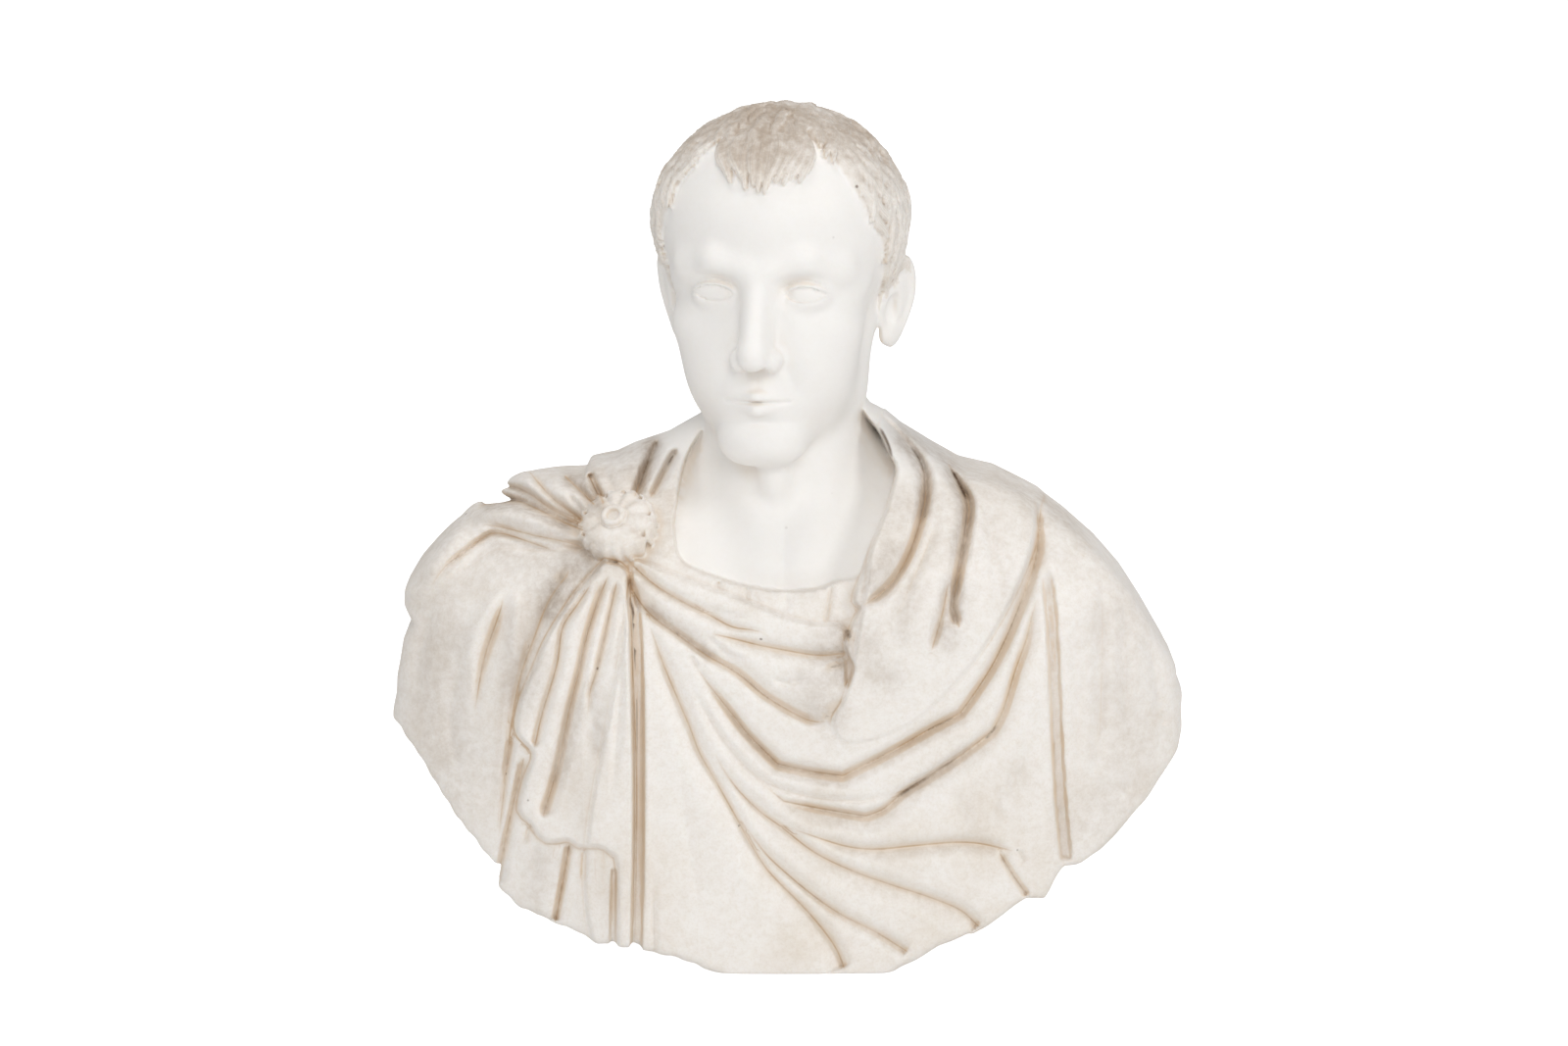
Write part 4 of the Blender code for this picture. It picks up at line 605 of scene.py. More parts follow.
# Body, neck and brooch
def body_form(x, y, z):
    behind = CHEST_BACK - 26.0 * (1 - ramp(z, -10.0, 190.0))
    deep = np.where(y > 0, y * (CHEST_FRONT / behind), y)
    rise = np.maximum(z - CHEST_LEVEL, 0.0)
    form = pillow(x, deep, rise, CHEST_HALF_WIDTH, CHEST_FRONT, CHEST_RISE, CHEST_POWER)
    ax = np.abs(x)
    form = join(form, cone(ax, y, z, (38.0, 16.0, 350.0), (150.0, 10.0, 294.0), 40.0, 44.0), 40.0)
    form = join(form, cone(ax, y, z, (214.0, 2.0, 230.0), (218.0, -4.0, 120.0), 62.0, 60.0), 40.0)
    # Broad folds of the plain back
    back = ramp(y, 20.0, 70.0)
    for x0, lean, deep_mm, wide in ((-150.0, 0.25, 6.0, 26.0), (-60.0, 0.1, 5.0, 24.0),
                                    (40.0, -0.12, 6.0, 26.0), (135.0, -0.3, 6.0, 28.0)):
        line = x - x0 - lean * (z - 200.0) - 12.0 * np.sin(z / 90.0)
        form = form + back * deep_mm * np.exp(-np.abs(line) / wide) * 1.4
    return form


def neck_form(x, y, z):
    form = cone(x, y, z, (0.0, 18.0, 455.0), (-1.0, 2.0, 330.0), 56.0, 62.0)
    form = join(form, cone(np.abs(x), y, z, (52.0, 26.0, 445.0), (12.0, -74.0, 290.0), 15.0, 8.0), 9.0)
    form = join(form, egg(x + 7.0, y + 60.0, z - 352.0, 10.0, 9.0, 15.0), 11.0)
    return form


BROOCH_AT = (-119.0, -84.0, 322.0)
BROOCH_OUT = (-0.22, -0.66, 0.72)
BROOCH_RADIUS = 28.0
BROOCH_PETALS = (-148, -22, 20, 58, 90, 122, 168)   # degrees at which the petals part


def brooch_form(x, y, z):
    """A round brooch: a ringed boss, leaf petals of unequal width and a frilled rim."""
    n = np.array(BROOCH_OUT) / np.linalg.norm(BROOCH_OUT)
    side = np.cross((0.0, 0.0, 1.0), n)
    side /= np.linalg.norm(side)
    up = np.cross(n, side)
    px, py, pz = x - BROOCH_AT[0], y - BROOCH_AT[1], z - BROOCH_AT[2]
    a = px * side[0] + py * side[1] + pz * side[2]
    b = px * up[0] + py * up[1] + pz * up[2]
    w = px * n[0] + py * n[1] + pz * n[2]
    r = np.hypot(a, b) + 1e-6
    turn = np.arctan2(b, a)
    frill = np.cos(19 * turn + 0.8 * np.sin(5 * turn))
    rim = BROOCH_RADIUS * (1.0 + 0.03 * frill)
    dome = np.sqrt((r / rim) ** 2.6 + (np.maximum(w, 0) / 11.5) ** 2 + (np.minimum(w, 0) / 22.0) ** 2)
    form = (dome - 1.0) * 12.0
    # Petals, parted by grooves
    gap = np.full(r.shape, 1e3)
    for edge in BROOCH_PETALS:
        away = np.abs(np.angle(np.exp(1j * (turn - math.radians(edge)))))
        gap = np.minimum(gap, r * np.sin(np.minimum(away, 1.2)))
    on_leaf = ramp(r, 9.0, 12.0) * (1 - ramp(r, 24.5, 27.0))
    form = form + on_leaf * (1.9 * np.exp(-gap / 1.5) - 0.9 * ramp(gap, 1.5, 5.0))
    # The frill of the rim and the ringed boss
    form = form + (0.7 + 0.5 * frill) * np.exp(-((r - 24.5) / 1.1) ** 2)
    form = form - 0.8 * ramp(frill, -0.4, 0.6) * np.exp(-((r - 26.6) / 1.3) ** 2)
    form = form + 1.8 * np.exp(-((r - 10.2) / 1.3) ** 2) + 2.2 * np.exp(-((r / 4.4) ** 4))
    ring = np.hypot(r - 6.7, w - 12.2) - 2.3
    form = join(form, ring, 1.0)
    form = form - 1.6 * np.exp(-((r / 1.5) ** 2))
    return keep(form, r - rim * 1.02, 2.0)


# Head, in its own frame: chin line z = 0, crown z = 250, ears on y = 0
def lid_open(u, v):
    """Negative inside the almond opening between the lids."""
    upper = 6.6 * (1.0 - np.abs(u / 15.8) ** 2.2) + 0.04 * u
    lower = -4.6 * (1.0 - np.abs(u / 15.8) ** 2.0) + 0.04 * u
    return np.maximum(v - upper, lower - v) * 0.8


def skull_form(ax, y, z):
    f = egg(ax, y - 8, z - 160, 84, 98, 86)
    return join(f, egg(ax, y + 41, z - 167, 69, 54, 59), 30)


def face_form(x, y, z):
    ax = np.abs(x)
    f = skull_form(ax, y, z)
    f = join(f, egg(ax, y + 36, z - 100, 62, 58, 70), 24)
    f = join(f, cone(ax, y, z, (43, -10, 46), (16, -76, 20), 15, 16), 24)
    f = join(f, cone(ax, y, z, (54, 4, 92), (43, -10, 46), 15, 15), 20)
    f = join(f, egg(ax, y + 81, z - 17, 23, 21, 17), 18)
    f = join(f, egg(ax - 44, y + 60, z - 97, 22, 23, 16), 22)
    f = join(f, egg(ax - 28, y + 69, z - 72, 24, 24, 30), 18)
    f = join(f, egg(ax - 37, y + 46, z - 66, 21, 27, 34), 22)
    # Brow and sockets
    f = join(f, cone(ax, y, z, (11, -94.5, 141), (32, -89.5, 147), 6.5, 6), 14)
    f = join(f, cone(ax, y, z, (32, -89.5, 147), (53, -69.5, 142), 6, 5), 14)
    f = join(f, cone(ax, y, z, (53, -69.5, 142), (61, -47, 130), 5, 4), 18)
    f = keep(f, -egg(ax - 32, y + 103, z - 126, 21.5, 20.5, 12.8), 7)
    # Eyeballs and lids
    u, v = ax - 32.5, z - 123.5
    ball = egg(u, y + 75, v, 19, 15.5, 15)
    lids = keep(ball - 2.9, -lid_open(u, v), 0.8)
    lids = keep(lids, np.hypot(u * 0.72, v) - 13.0, 5)
    lids = keep(lids, y + 70, 4)
    f = join(f, lids, 4.0)
    over = np.exp(-((v - 10.2 + 0.022 * u * u) / 1.3) ** 2) * (1 - ramp(np.abs(u), 12, 19))
    f = f + 1.5 * over * (1 - ramp(y, -76, -70))
    f = np.minimum(f, np.maximum(ball, np.hypot(u * 0.9, v) - 15.0))
    # Nose
    n = cone(x, y, z, (0, -90, 138), (0, -104, 88), 9.5, 12.5)
    n = join(n, cone(x, y, z, (0, -97, 138), (0, -116.5, 90), 6.5, 7.6), 8)
    n = join(n, egg(ax, y + 115.5, z - 82.5, 10.5, 11.5, 9.5), 7)
    n = join(n, egg(ax - 12.2, y + 104, z - 78.5, 7.0, 11.0, 7.6), 5)
    f = join(f, n, 9)
    f = keep(f, -egg(ax - 6.2, y + 110.5, z - 70.5, 3.6, 6.5, 5.0), 2.5)
    # Mouth
    f = join(f, egg(ax, y + 68, z - 50, 35, 33, 29), 16)
    lips = join(cone(ax, y, z, (0.8, -102.2, 52.3), (23.5, -91.5, 48.4), 4.5, 1.7),
                cone(ax, y, z, (0.0, -101.0, 42.8), (20, -92.0, 46.2), 5.9, 1.8), 1.0)
    f = join(f, lips, 3.6)
    front = (1 - ramp(y, -90, -78))
    line = z - 48.4 - 0.5 * np.cos(ax / 6.0) - 0.0010 * ax * ax
    f = f + 2.1 * np.exp(-(line / 1.5) ** 2) * (1 - ramp(ax, 21, 28)) * front
    f = f + 0.9 * np.exp(-(x / 3.4) ** 2) * ramp(z, 56, 61) * (1 - ramp(z, 64, 70)) * front
    f = f + 3.0 * np.exp(-((z - 33) / 5.5) ** 2 - (ax / 18) ** 2) * front
    # The fold from the wing of the nose to the corner of the mouth
    fold = ax - 19.0 - (76.0 - z) * 0.42
    f = f + 0.9 * np.exp(-(fold / 4.5) ** 2) * ramp(z, 44, 56) * (1 - ramp(z, 70, 82)) * front
    return f


def ear_form(x, y, z):
    py, pz = y - 12.0, z - 106.0
    ax = np.abs(x) - 81.0 - 0.15 * pz
    lean, open_out = math.radians(10), math.radians(34)
    b = py * math.cos(lean) + pz * math.sin(lean)
    h = -py * math.sin(lean) + pz * math.cos(lean)
    a = b * math.cos(open_out) + ax * math.sin(open_out)
    n = -b * math.sin(open_out) + ax * math.cos(open_out)
    e = np.hypot(a / (15.5 - 0.12 * (h < 0) * np.abs(h)), h / 29.0) + 1e-6
    rim = np.sqrt(((e - 1.0) * 15.0) ** 2 + (n - 2.0) ** 2) - 3.4
    rim = rim + 3.0 * ramp(-a - 0.2 * h, 6.0, 13.0)
    plate = egg(a, n, h, 15.5, 4.5, 28.5)
    f = join(plate, rim, 2.5)
    f = join(f, egg(a + 1.0, n - 1.0, h + 25.0, 8.5, 4.8, 8.5), 4)
    f = keep(f, -egg(a + 3.5, n - 5.0, h + 5.0, 7.5, 6.5, 12.5), 2.5)
    f = join(f, cone(a, n, h, (5.0, 1.5, -10.0), (0.5, 1.5, 15.0), 2.6, 2.4), 2.0)
    return f


# Hair, laid out on a flat map around the crown: distance from it is the angle, in radians
CROWN = (0.0, 0.42, 0.91)
HAIR_ASIDE = 4.0         # extra thickness of the hair at the sides
SKULL_AT = (0.0, 4.0, 152.0)
SKULL_ROUND = 88.0       # mean radius of the skull about that place
# Degrees round from the front, and height over the chin line
HAIRLINE = [(0, 206), (10, 207), (18, 211), (24, 215), (30, 216), (36, 210), (41, 202), (45, 191), (48, 181),
            (54, 168), (61, 157), (68, 145), (75, 130), (81, 116), (86, 106), (91, 118), (96, 140),
            (104, 140), (114, 128), (124, 92), (140, 54), (160, 46), (180, 44)]
TEMPLE_EDGE = [(29, 220), (36, 214), (42, 204), (47, 191), (53, 176), (62, 162), (70, 146), (78, 130),
               (84, 112)]


def hair_map_place(dx, dy, dz):
    """From a direction off the skull's middle to the flat map."""
    w = np.array(CROWN) / np.linalg.norm(CROWN)
    fore = np.array((0.0, -w[2], w[1]))
    c = dx * w[0] + dy * w[1] + dz * w[2]
    a = dx * fore[0] + dy * fore[1] + dz * fore[2]
    b = dx
    far = np.arccos(np.clip(c, -1, 1))
    s = far / np.maximum(np.hypot(a, b), 1e-9)
    return b * s, -a * s


def hair_map_point(mu, mv):
    """The direction that falls on a point of the flat map."""
    w = np.array(CROWN) / np.linalg.norm(CROWN)
    fore = np.array((0.0, -w[2], w[1]))
    far = np.hypot(mu, mv) + 1e-9
    a, b = -mv / far, mu / far
    c, s = np.cos(far), np.sin(far)
    return s * b, c * w[1] + s * a * fore[1], c * w[2] + s * a * fore[2]


def hair_here(mu, mv):
    """Height over the hairline at a point of the flat map, in millimetres: positive on the hair."""
    dx, dy, dz = hair_map_point(mu, mv)
    z = SKULL_AT[2] + dz * SKULL_ROUND
    turn = np.degrees(np.arctan2(np.abs(dx), -(dy * SKULL_ROUND + SKULL_AT[1]) / SKULL_ROUND))
    table = np.array(HAIRLINE, float)
    return z - np.interp(turn, table[:, 0], table[:, 1])


def lay_lock(sheet, start, heading, bend, wave, length, half, height, wall):
    """One waving lock with combed strands, low at its root and blunt at its tip."""
    u, v = start
    route = [(u, v)]
    for i in range(12):
        way = heading + bend * i / 11 + wave * math.sin(2 * math.pi * i / 11)
        u += length / 12 * math.sin(way)
        v -= length / 12 * math.cos(way)
        route.append((u, v))
    route = np.array(route)
    part, wu, wv = sheet.window(route, half * 1.2)
    s, t = near_route(route, wu, wv)
    wide = half * np.sqrt(np.clip(t * 3.0 + 0.4, 0, 1)) * np.sqrt(np.clip((1 - t) * 2.6 + 0.16, 0, 1))
    q = np.clip(1 - (s / wide) ** 2, 0, 1)
    top = 3.4 + (height - 3.4) * ramp(t, 0.0, 0.5) * (1 - 0.30 * ramp(t, 0.75, 1.0))
    top = top * (wall + (1 - wall) * np.sqrt(q))
    top = top - 0.9 * (0.5 - 0.5 * np.cos(s / half * 9.5)) * ramp(q, 0.0, 0.4)
    wins = (q > 0) & (top > sheet.h[part])
    sheet.h[part] = np.where(wins, top, sheet.h[part])
    sheet.comb[part] = np.where(wins, s / half, sheet.comb[part])


def lay_temple_locks(sheet, side):
    """Rows of locks that follow the edge of the hair past the temple and down in front of the ear."""
    spots = []
    for degrees, high in TEMPLE_EDGE:
        dz = (high - SKULL_AT[2]) / SKULL_ROUND
        flat = math.sqrt(1 - dz * dz)
        round_by = math.radians(degrees)
        spots.append(hair_map_place(side * flat * math.sin(round_by), -flat * math.cos(round_by), dz))
    spots = np.array(spots, float)
    for row, inside in enumerate((0.47, 0.40, 0.33, 0.26, 0.19, 0.12, 0.065, 0.02)):
        line = spots * (1 - inside / np.hypot(spots[:, 0], spots[:, 1]))[:, None]
        for i in range(row % 2, len(line) - 2, 2):
            d = line[i + 2] - line[i]
            first, last = line[i + 1] - line[i], line[i + 2] - line[i + 1]
            bent = math.atan2(last[0], -last[1]) - math.atan2(first[0], -first[1])
            lay_lock(sheet, line[i], math.atan2(d[0], -d[1]) - 0.5 * bent, bent,
                     0.30 * (1 if i % 4 < 2 else -1), 1.18 * np.hypot(*d), 0.045,
                     6.2 + 0.4 * (i % 3) - 0.35 * max(row - 4, 0), 0.62)


def lay_crown_locks(sheet, rng):
    """Rings of locks that run out from the crown, swing forward on top and back again past the temples."""
    for ring, far in enumerate(np.arange(0.04, 2.35, 0.10)):
        count = max(6, int(2 * math.pi * math.sin(min(far, math.pi / 2 + 0.2)) / 0.135))
        for k in range(count):
            turn = 2 * math.pi * (k + 0.5 * (ring % 2) + rng.uniform(-0.3, 0.3)) / count
            turn = math.atan2(math.sin(turn), math.cos(turn))
            out, big, chance, rise = (rng.uniform(-0.04, 0.04), rng.uniform(0.8, 1.25), rng.uniform(-1, 1),
                                      rng.uniform(5.4, 7.2))
            ahead_of = ramp(far, 0.2, 0.8) * (1 - ramp(far, 1.0, 1.4))
            past = ramp(far, 0.9, 1.4) * ramp(abs(turn), 0.4, 0.9) * (1 - ramp(abs(turn), 1.6, 2.2))
            swing = -0.45 * math.sin(turn) * ahead_of + 0.75 * math.copysign(1.0, turn) * past
            bend = 0.55 * chance
            wave = 0.42 if (ring + k) % 2 else -0.32
            u, v = (far + out) * math.sin(turn), -(far + out) * math.cos(turn)
            heading = turn + swing - bend * 0.5
            ahead = 0.42 * big
            rise = rise * (0.75 + 0.25 * ramp(far, 0.1, 0.5))
            end = hair_here(np.array(u + ahead * math.sin(heading)), np.array(v - ahead * math.cos(heading)))
            if hair_here(np.array(u), np.array(v)) < 5.0 or end < -1.0:
                continue
            lay_lock(sheet, (u, v), heading, bend, wave, ahead, 0.042 * big, rise, 0.62)


def lay_fringe(sheet):
    """Locks that spread from the middle and curl back in at their tips, the middle ones on top."""
    for k in (0, 14, 1, 13, 2, 12, 3, 11, 4, 10, 5, 9, 6, 8, 7):
        turn = -0.35 + 0.05 * k
        side = max(-1.0, min(1.0, turn / 0.16))
        reach = 0.51 - 0.20 * abs(turn) + 0.02 * (k % 3)
        root = (1.03 * math.sin(turn * 0.75), -1.03 * math.cos(turn * 0.75))
        lay_lock(sheet, root, turn * 0.5 + side * 0.55, -side * (1.15 - 0.12 * (k % 3)), 0.22 * side,
                 reach, 0.056, 6.8 - 0.5 * (k % 3), 0.38)


def hair_sheet(step):
    sheet = Sheet(-2.5, -2.5, 2.5, 2.5, step)
    gu, gv = np.meshgrid(sheet.u, sheet.v, indexing="ij")
    over_line = hair_here(gu, gv)
    sheet.h = 2.8 * ramp(over_line, -1.0, 12.0)
    sheet.h[np.hypot(gu, gv) > 2.45] = 0
    lay_crown_locks(sheet, np.random.default_rng(7))
    for side in (-1.0, 1.0):
        lay_temple_locks(sheet, side)
    lay_fringe(sheet)
    # The hair stands out further at the sides
    aside = np.abs(np.sin(np.arctan2(gu, -gv))) * ramp(np.hypot(gu, gv), 0.6, 1.3)
    sheet.h += HAIR_ASIDE * aside * ramp(over_line, 3.0, 50.0) * ramp(sheet.h, 0.5, 2.0)
    return sheet


def head_frame(x, y, z):
    """A point of the bust in the head's own frame, in 250ths of the head's height."""
    px, py, pz = x - HEAD_ORIGIN[0] * BODY, y - HEAD_ORIGIN[1] * BODY, z - HEAD_ORIGIN[2] * BODY
    c, s = math.cos(HEAD_YAW), math.sin(HEAD_YAW)
    return (px * c + py * s) / HEAD, (py * c - px * s) / HEAD, pz / HEAD


def hair_spot(x, y, z):
    """Where a point of the head's frame falls on the flat map of the hair."""
    dx, dy, dz = x - SKULL_AT[0], y - SKULL_AT[1], z - SKULL_AT[2]
    far = np.sqrt(dx * dx + dy * dy + dz * dz) + 1e-6
    return hair_map_place(dx / far, dy / far, dz / far)


def head_form(x, y, z, hair):
    hx, hy, hz = head_frame(x, y, z)
    bare = face_form(hx, hy, hz)
    skull = join(skull_form(hx, hy, hz), egg(hx, hy - 30, hz - 96, 60, 58, 60), 20)
    high = hair.at(*hair_spot(hx, hy, hz))
    grown = np.where(high > 0.05, join(skull, bare, 2.0) - high, 1e3)
    f = join(np.minimum(bare, grown), egg(hx, hy - 30, hz - 92, 56, 56, 62), 18)
    return join(f, ear_form(hx, hy, hz), 3.0)


def bust_form(x, y, z, sheets):
    outline, folds, neckline, hair = sheets
    form = np.full(x.shape, 1e3)
    low = z < BODY_TOP * BODY
    if low.any():
        bx, by, bz = x[low] / BODY, y[low] / BODY, z[low] / BODY
        body = body_form(bx, by, bz)
        u, v = drawn(bx, by, bz)
        cloth = body - (folds.at(u, v) - neckline.at(u, v)) * front_share(by)
        edge = outline.at(bx, bz)
        skin = join(neck_form(bx, by, bz), body + SKIN_UNDER_CLOTH, 26.0)
        part = join(keep(cloth, edge, CUT_ROUND), keep(skin, edge, CUT_ROUND), 2.5)
        part = join(part, brooch_form(bx, by, bz), 2.0)
        form[low] = np.maximum(part, -bz) * BODY
    high = z > HEAD_LOW * BODY
    if high.any():
        head = head_form(x[high], y[high], z[high], hair) * HEAD
        form[high] = join(form[high], head, 12.0 * HEAD)
    return form


# Turning the form into a closed mesh
def field_over(xs, ys, zs, form):
    field = np.empty((len(xs), len(ys), len(zs)), np.float32)
    for k in range(0, len(zs), 8):
        gx, gy, gz = np.meshgrid(xs, ys, zs[k : k + 8], indexing="ij")
        shape = gx.shape
        field[:, :, k : k + 8] = form(gx.ravel(), gy.ravel(), gz.ravel()).reshape(shape)
    return field


def net_of(field, xs, ys, zs):
    """Surface net: one vertex in each cell that the surface crosses, one quad over each crossed edge."""
    full = field < 0
    n = sum(full[i : i - 1 or None, j : j - 1 or None, k : k - 1 or None].astype(np.int8)
            for i in (0, 1) for j in (0, 1) for k in (0, 1))
    ci, cj, ck = np.nonzero((n > 0) & (n < 8))
    number = np.full(n.shape, -1, np.int32)
    number[ci, cj, ck] = np.arange(len(ci))
    total = np.zeros((len(ci), 3))
    count = np.zeros(len(ci))
    grid = (xs, ys, zs)
    for axis in range(3):
        o1, o2 = [o for o in range(3) if o != axis]
        for s1 in (0, 1):
            for s2 in (0, 1):
                start = [ci, cj, ck]
                start[o1] = start[o1] + s1
                start[o2] = start[o2] + s2
                end = list(start)
                end[axis] = end[axis] + 1
                fa = field[start[0], start[1], start[2]].astype(float)
                fb = field[end[0], end[1], end[2]].astype(float)
                cross = (fa < 0) != (fb < 0)
                t = np.where(cross, fa / np.where(cross, fa - fb, 1.0), 0.0)
                for o in range(3):
                    g = grid[o]
                    at = g[start[o]]
                    if o == axis:
                        at = at + t * (g[end[o]] - at)
                    total[:, o] += np.where(cross, at, 0.0)
                count += cross
    points = total / count[:, None]
    quads = []
    for axis in range(3):
        o1, o2 = [(1, 2), (2, 0), (0, 1)][axis]
        a = np.moveaxis(full, (axis, o1, o2), (0, 1, 2))
        m = np.moveaxis(number, (axis, o1, o2), (0, 1, 2))
        cross = a[:-1, 1:-1, 1:-1] != a[1:, 1:-1, 1:-1]
        i, j, k = np.nonzero(cross)
        j, k = j + 1, k + 1
        quad = np.stack([m[i, j - 1, k - 1], m[i, j, k - 1], m[i, j, k], m[i, j - 1, k]], axis=1)
        inward = ~a[i, j, k]
        quad[inward] = quad[inward][:, ::-1]
        quads.append(quad)
    return points, np.vstack(quads)


# The fine carving: the grid's reach and steps in millimetres, finer over the head
MOST_TRIANGLES = 194000
FAR_OFF = 9.0            # past this distance, in drawing units, a crease no longer counts
GRID_X = (-302.0, 306.0)
GRID_Y = (-146.0, 130.0)
GRID_LOW = -4.3          # a little under the floor, so that the underside closes
HEAD_X = (-151.0, 104.0)
HEAD_Z = 292.0
HAIR_TOP = 277.0         # over the chin line, in 250ths of the head's height
FACE_STEP = 1.2
CLOTH_STEP = 1.7
DEPTH_STEP = 1.6


def fine_axis(low, high, fine_low, fine_high, fine, coarse):
    """Grid lines, closer together over the head."""
    parts = []
    if low < fine_low:
        parts.append(np.arange(low, fine_low, coarse))
    parts.append(np.arange(fine_low, fine_high, fine))
    if high > fine_high:
        parts.append(np.arange(parts[-1][-1] + fine, high, coarse))
    return np.concatenate(parts)


def near_field(xs, ys, zs, form, stride=4, reach=24.0):
    """The field on the whole grid, worked out only near the surface."""
    cx, cy, cz = xs[::stride], ys[::stride], zs[::stride]
    coarse = field_over(cx, cy, cz, form)
    close = np.abs(coarse) < reach
    wide = close.copy()
    for axis in range(3):
        w = np.moveaxis(wide, axis, 0)
        grown = w.copy()
        grown[1:] |= w[:-1]
        grown[:-1] |= w[1:]
        w[...] = grown
    index = [np.minimum(np.arange(len(a)) // stride, len(c) - 1) for a, c in ((xs, cx), (ys, cy), (zs, cz))]
    field = np.empty((len(xs), len(ys), len(zs)), np.float32)
    for k in range(0, len(zs), 8):
        iz = index[2][k : k + 8]
        here = wide[:, :, iz][index[0]][:, index[1]]
        slab = np.where(coarse[:, :, iz][index[0]][:, index[1]] < 0, -30.0, 30.0).astype(np.float32)
        i, j, m = np.nonzero(here)
        slab[i, j, m] = form(xs[i], ys[j], zs[k + m])
        field[:, :, k : k + 8] = slab
    return field


def mesh_from(points, quads, name):
    mesh = bpy.data.meshes.new(name)
    mesh.vertices.add(len(points))
    mesh.vertices.foreach_set("co", (points * 0.001).ravel())
    mesh.loops.add(quads.size)
    mesh.loops.foreach_set("vertex_index", quads.ravel().astype(np.int32))
    mesh.polygons.add(len(quads))
    mesh.polygons.foreach_set("loop_start", np.arange(0, quads.size, 4, dtype=np.int32))
    mesh.polygons.foreach_set("loop_total", np.full(len(quads), 4, np.int32))
    mesh.update(calc_edges=True)
    return mesh


def thinned(mesh, most):
    """The mesh with at most that many triangles, fewest where the form is plain."""
    piece = bpy.data.objects.new("thinning", mesh)
    bpy.context.scene.collection.objects.link(piece)
    cut = piece.modifiers.new("fewer", "DECIMATE")
    cut.ratio = min(1.0, most / (2.0 * len(mesh.polygons)))
    cut.use_collapse_triangulate = True
    graph = bpy.context.evaluated_depsgraph_get()
    out = bpy.data.meshes.new_from_object(piece.evaluated_get(graph))
    bpy.data.objects.remove(piece, do_unlink=True)
    return out


def set_mark(mesh, name, values):
    mark = mesh.attributes.new(name, "FLOAT", "POINT")
    mark.data.foreach_set("value", np.ascontiguousarray(values, dtype=np.float32))


def hair_gaps(hair):
    """How far each point of the hair lies under the mean of what is around it."""
    reach = 7
    total = np.cumsum(np.cumsum(np.pad(hair.h, ((reach + 1, reach), (reach + 1, reach)), "edge"), 0), 1)
    wide = 2 * reach + 1
    both = total[wide:, wide:] - total[:-wide, wide:] - total[wide:, :-wide] + total[:-wide, :-wide]
    gaps = Sheet(hair.u0, hair.v0, hair.u[-1] - hair.step, hair.v[-1] - hair.step, hair.step)
    gaps.h = both / wide**2 - hair.h
    gaps.u, gaps.v = hair.u, hair.v
    return gaps


def mark_surface(mesh, form, sheets):
    """Where grime gathers and where shade is painted, where the stone is cloth, hair or skin, and where
    weather lies.
    """
    _, folds, neckline, hair = sheets
    count = len(mesh.vertices)
    p = np.empty(count * 3, np.float32)
    n = np.empty(count * 3, np.float32)
    mesh.vertices.foreach_get("co", p)
    mesh.vertices.foreach_get("normal", n)
    p = p.reshape(-1, 3).astype(float) * 1000.0
    n = n.reshape(-1, 3).astype(float)
    x, y, z = p.T

    def shut(reach):
        q = p + n * reach
        return np.clip(1.0 - form(q[:, 0], q[:, 1], q[:, 2]) / reach, 0, 1)

    bx, by, bz = x / BODY, y / BODY, z / BODY
    u, v = drawn(bx, by, bz)
    body = ramp(440 - bz, 0, 40) * front_share(by)
    hx, hy, hz = head_frame(x, y, z)
    mu, mv = hair_spot(hx, hy, hz)
    on_hair = ramp(hair.at(mu, mv), 0.3, 1.5) * ramp(hz, 20, 40) * ramp(108 - np.abs(hx), 0, 4)
    open_neck = neckline.at(u, v) / NECK_CUT * front_share(by)
    neck_skin = ramp(4.0 - np.abs(neck_form(bx, by, bz)), 0, 3)
    skin = np.maximum(ramp(hz, -30, 6) * (1 - on_hair), np.maximum(open_neck, neck_skin))
    skin = np.where(hz > 20, 1 - on_hair, skin)
    line = np.clip(folds.at(u, v, "line"), -FAR_OFF, FAR_OFF)
    # Painted shade in narrow corners and in the gaps between locks, from how enclosed each point is.
    corner_shade = 0.35 * shut(3.0) ** 1.5
    lock_gap_shade = ramp(hair_gaps(hair).at(mu, mv), 0.15, 1.3) * on_hair
    # Grime and painted shade along creases, grooves and layer edges, with the listed stains.
    set_mark(mesh, "crease", folds.at(u, v, "dirt") * body)
    set_mark(mesh, "line", np.where(body > 0.5, line, FAR_OFF))
    set_mark(mesh, "grime", folds.at(u, v, "smoke") * body)
    # How enclosed each point is over two reaches, which paints shade in the hollows.
    set_mark(mesh, "hollow", 0.5 * shut(10.0) + 0.5 * shut(22.0))
    set_mark(mesh, "comb", hair.at(mu, mv, "comb") * on_hair)
    set_mark(mesh, "gap", np.maximum(corner_shade * (1 - 0.7 * skin), lock_gap_shade))
    set_mark(mesh, "skin", skin)
    set_mark(mesh, "hair", on_hair)
    set_mark(mesh, "upward", np.clip(n[:, 2], 0, 1))


# Node helpers
def add_node(tree, kind, **values):
    node = tree.nodes.new(kind)
    for key, value in values.items():
        setattr(node, key, value)
    return node


def wire(tree, value, socket):
    """Links a socket, or sets a plain value."""
    if isinstance(value, bpy.types.NodeSocket):
        tree.links.new(value, socket)
    elif isinstance(value, tuple) and len(value) == 3 and socket.type == "RGBA":
        socket.default_value = (*value, 1.0)
    else:
        socket.default_value = value


def maths(tree, kind, a, b=0.0):
    node = add_node(tree, "ShaderNodeMath", operation=kind)
    wire(tree, a, node.inputs[0])
    wire(tree, b, node.inputs[1])
    return node.outputs[0]


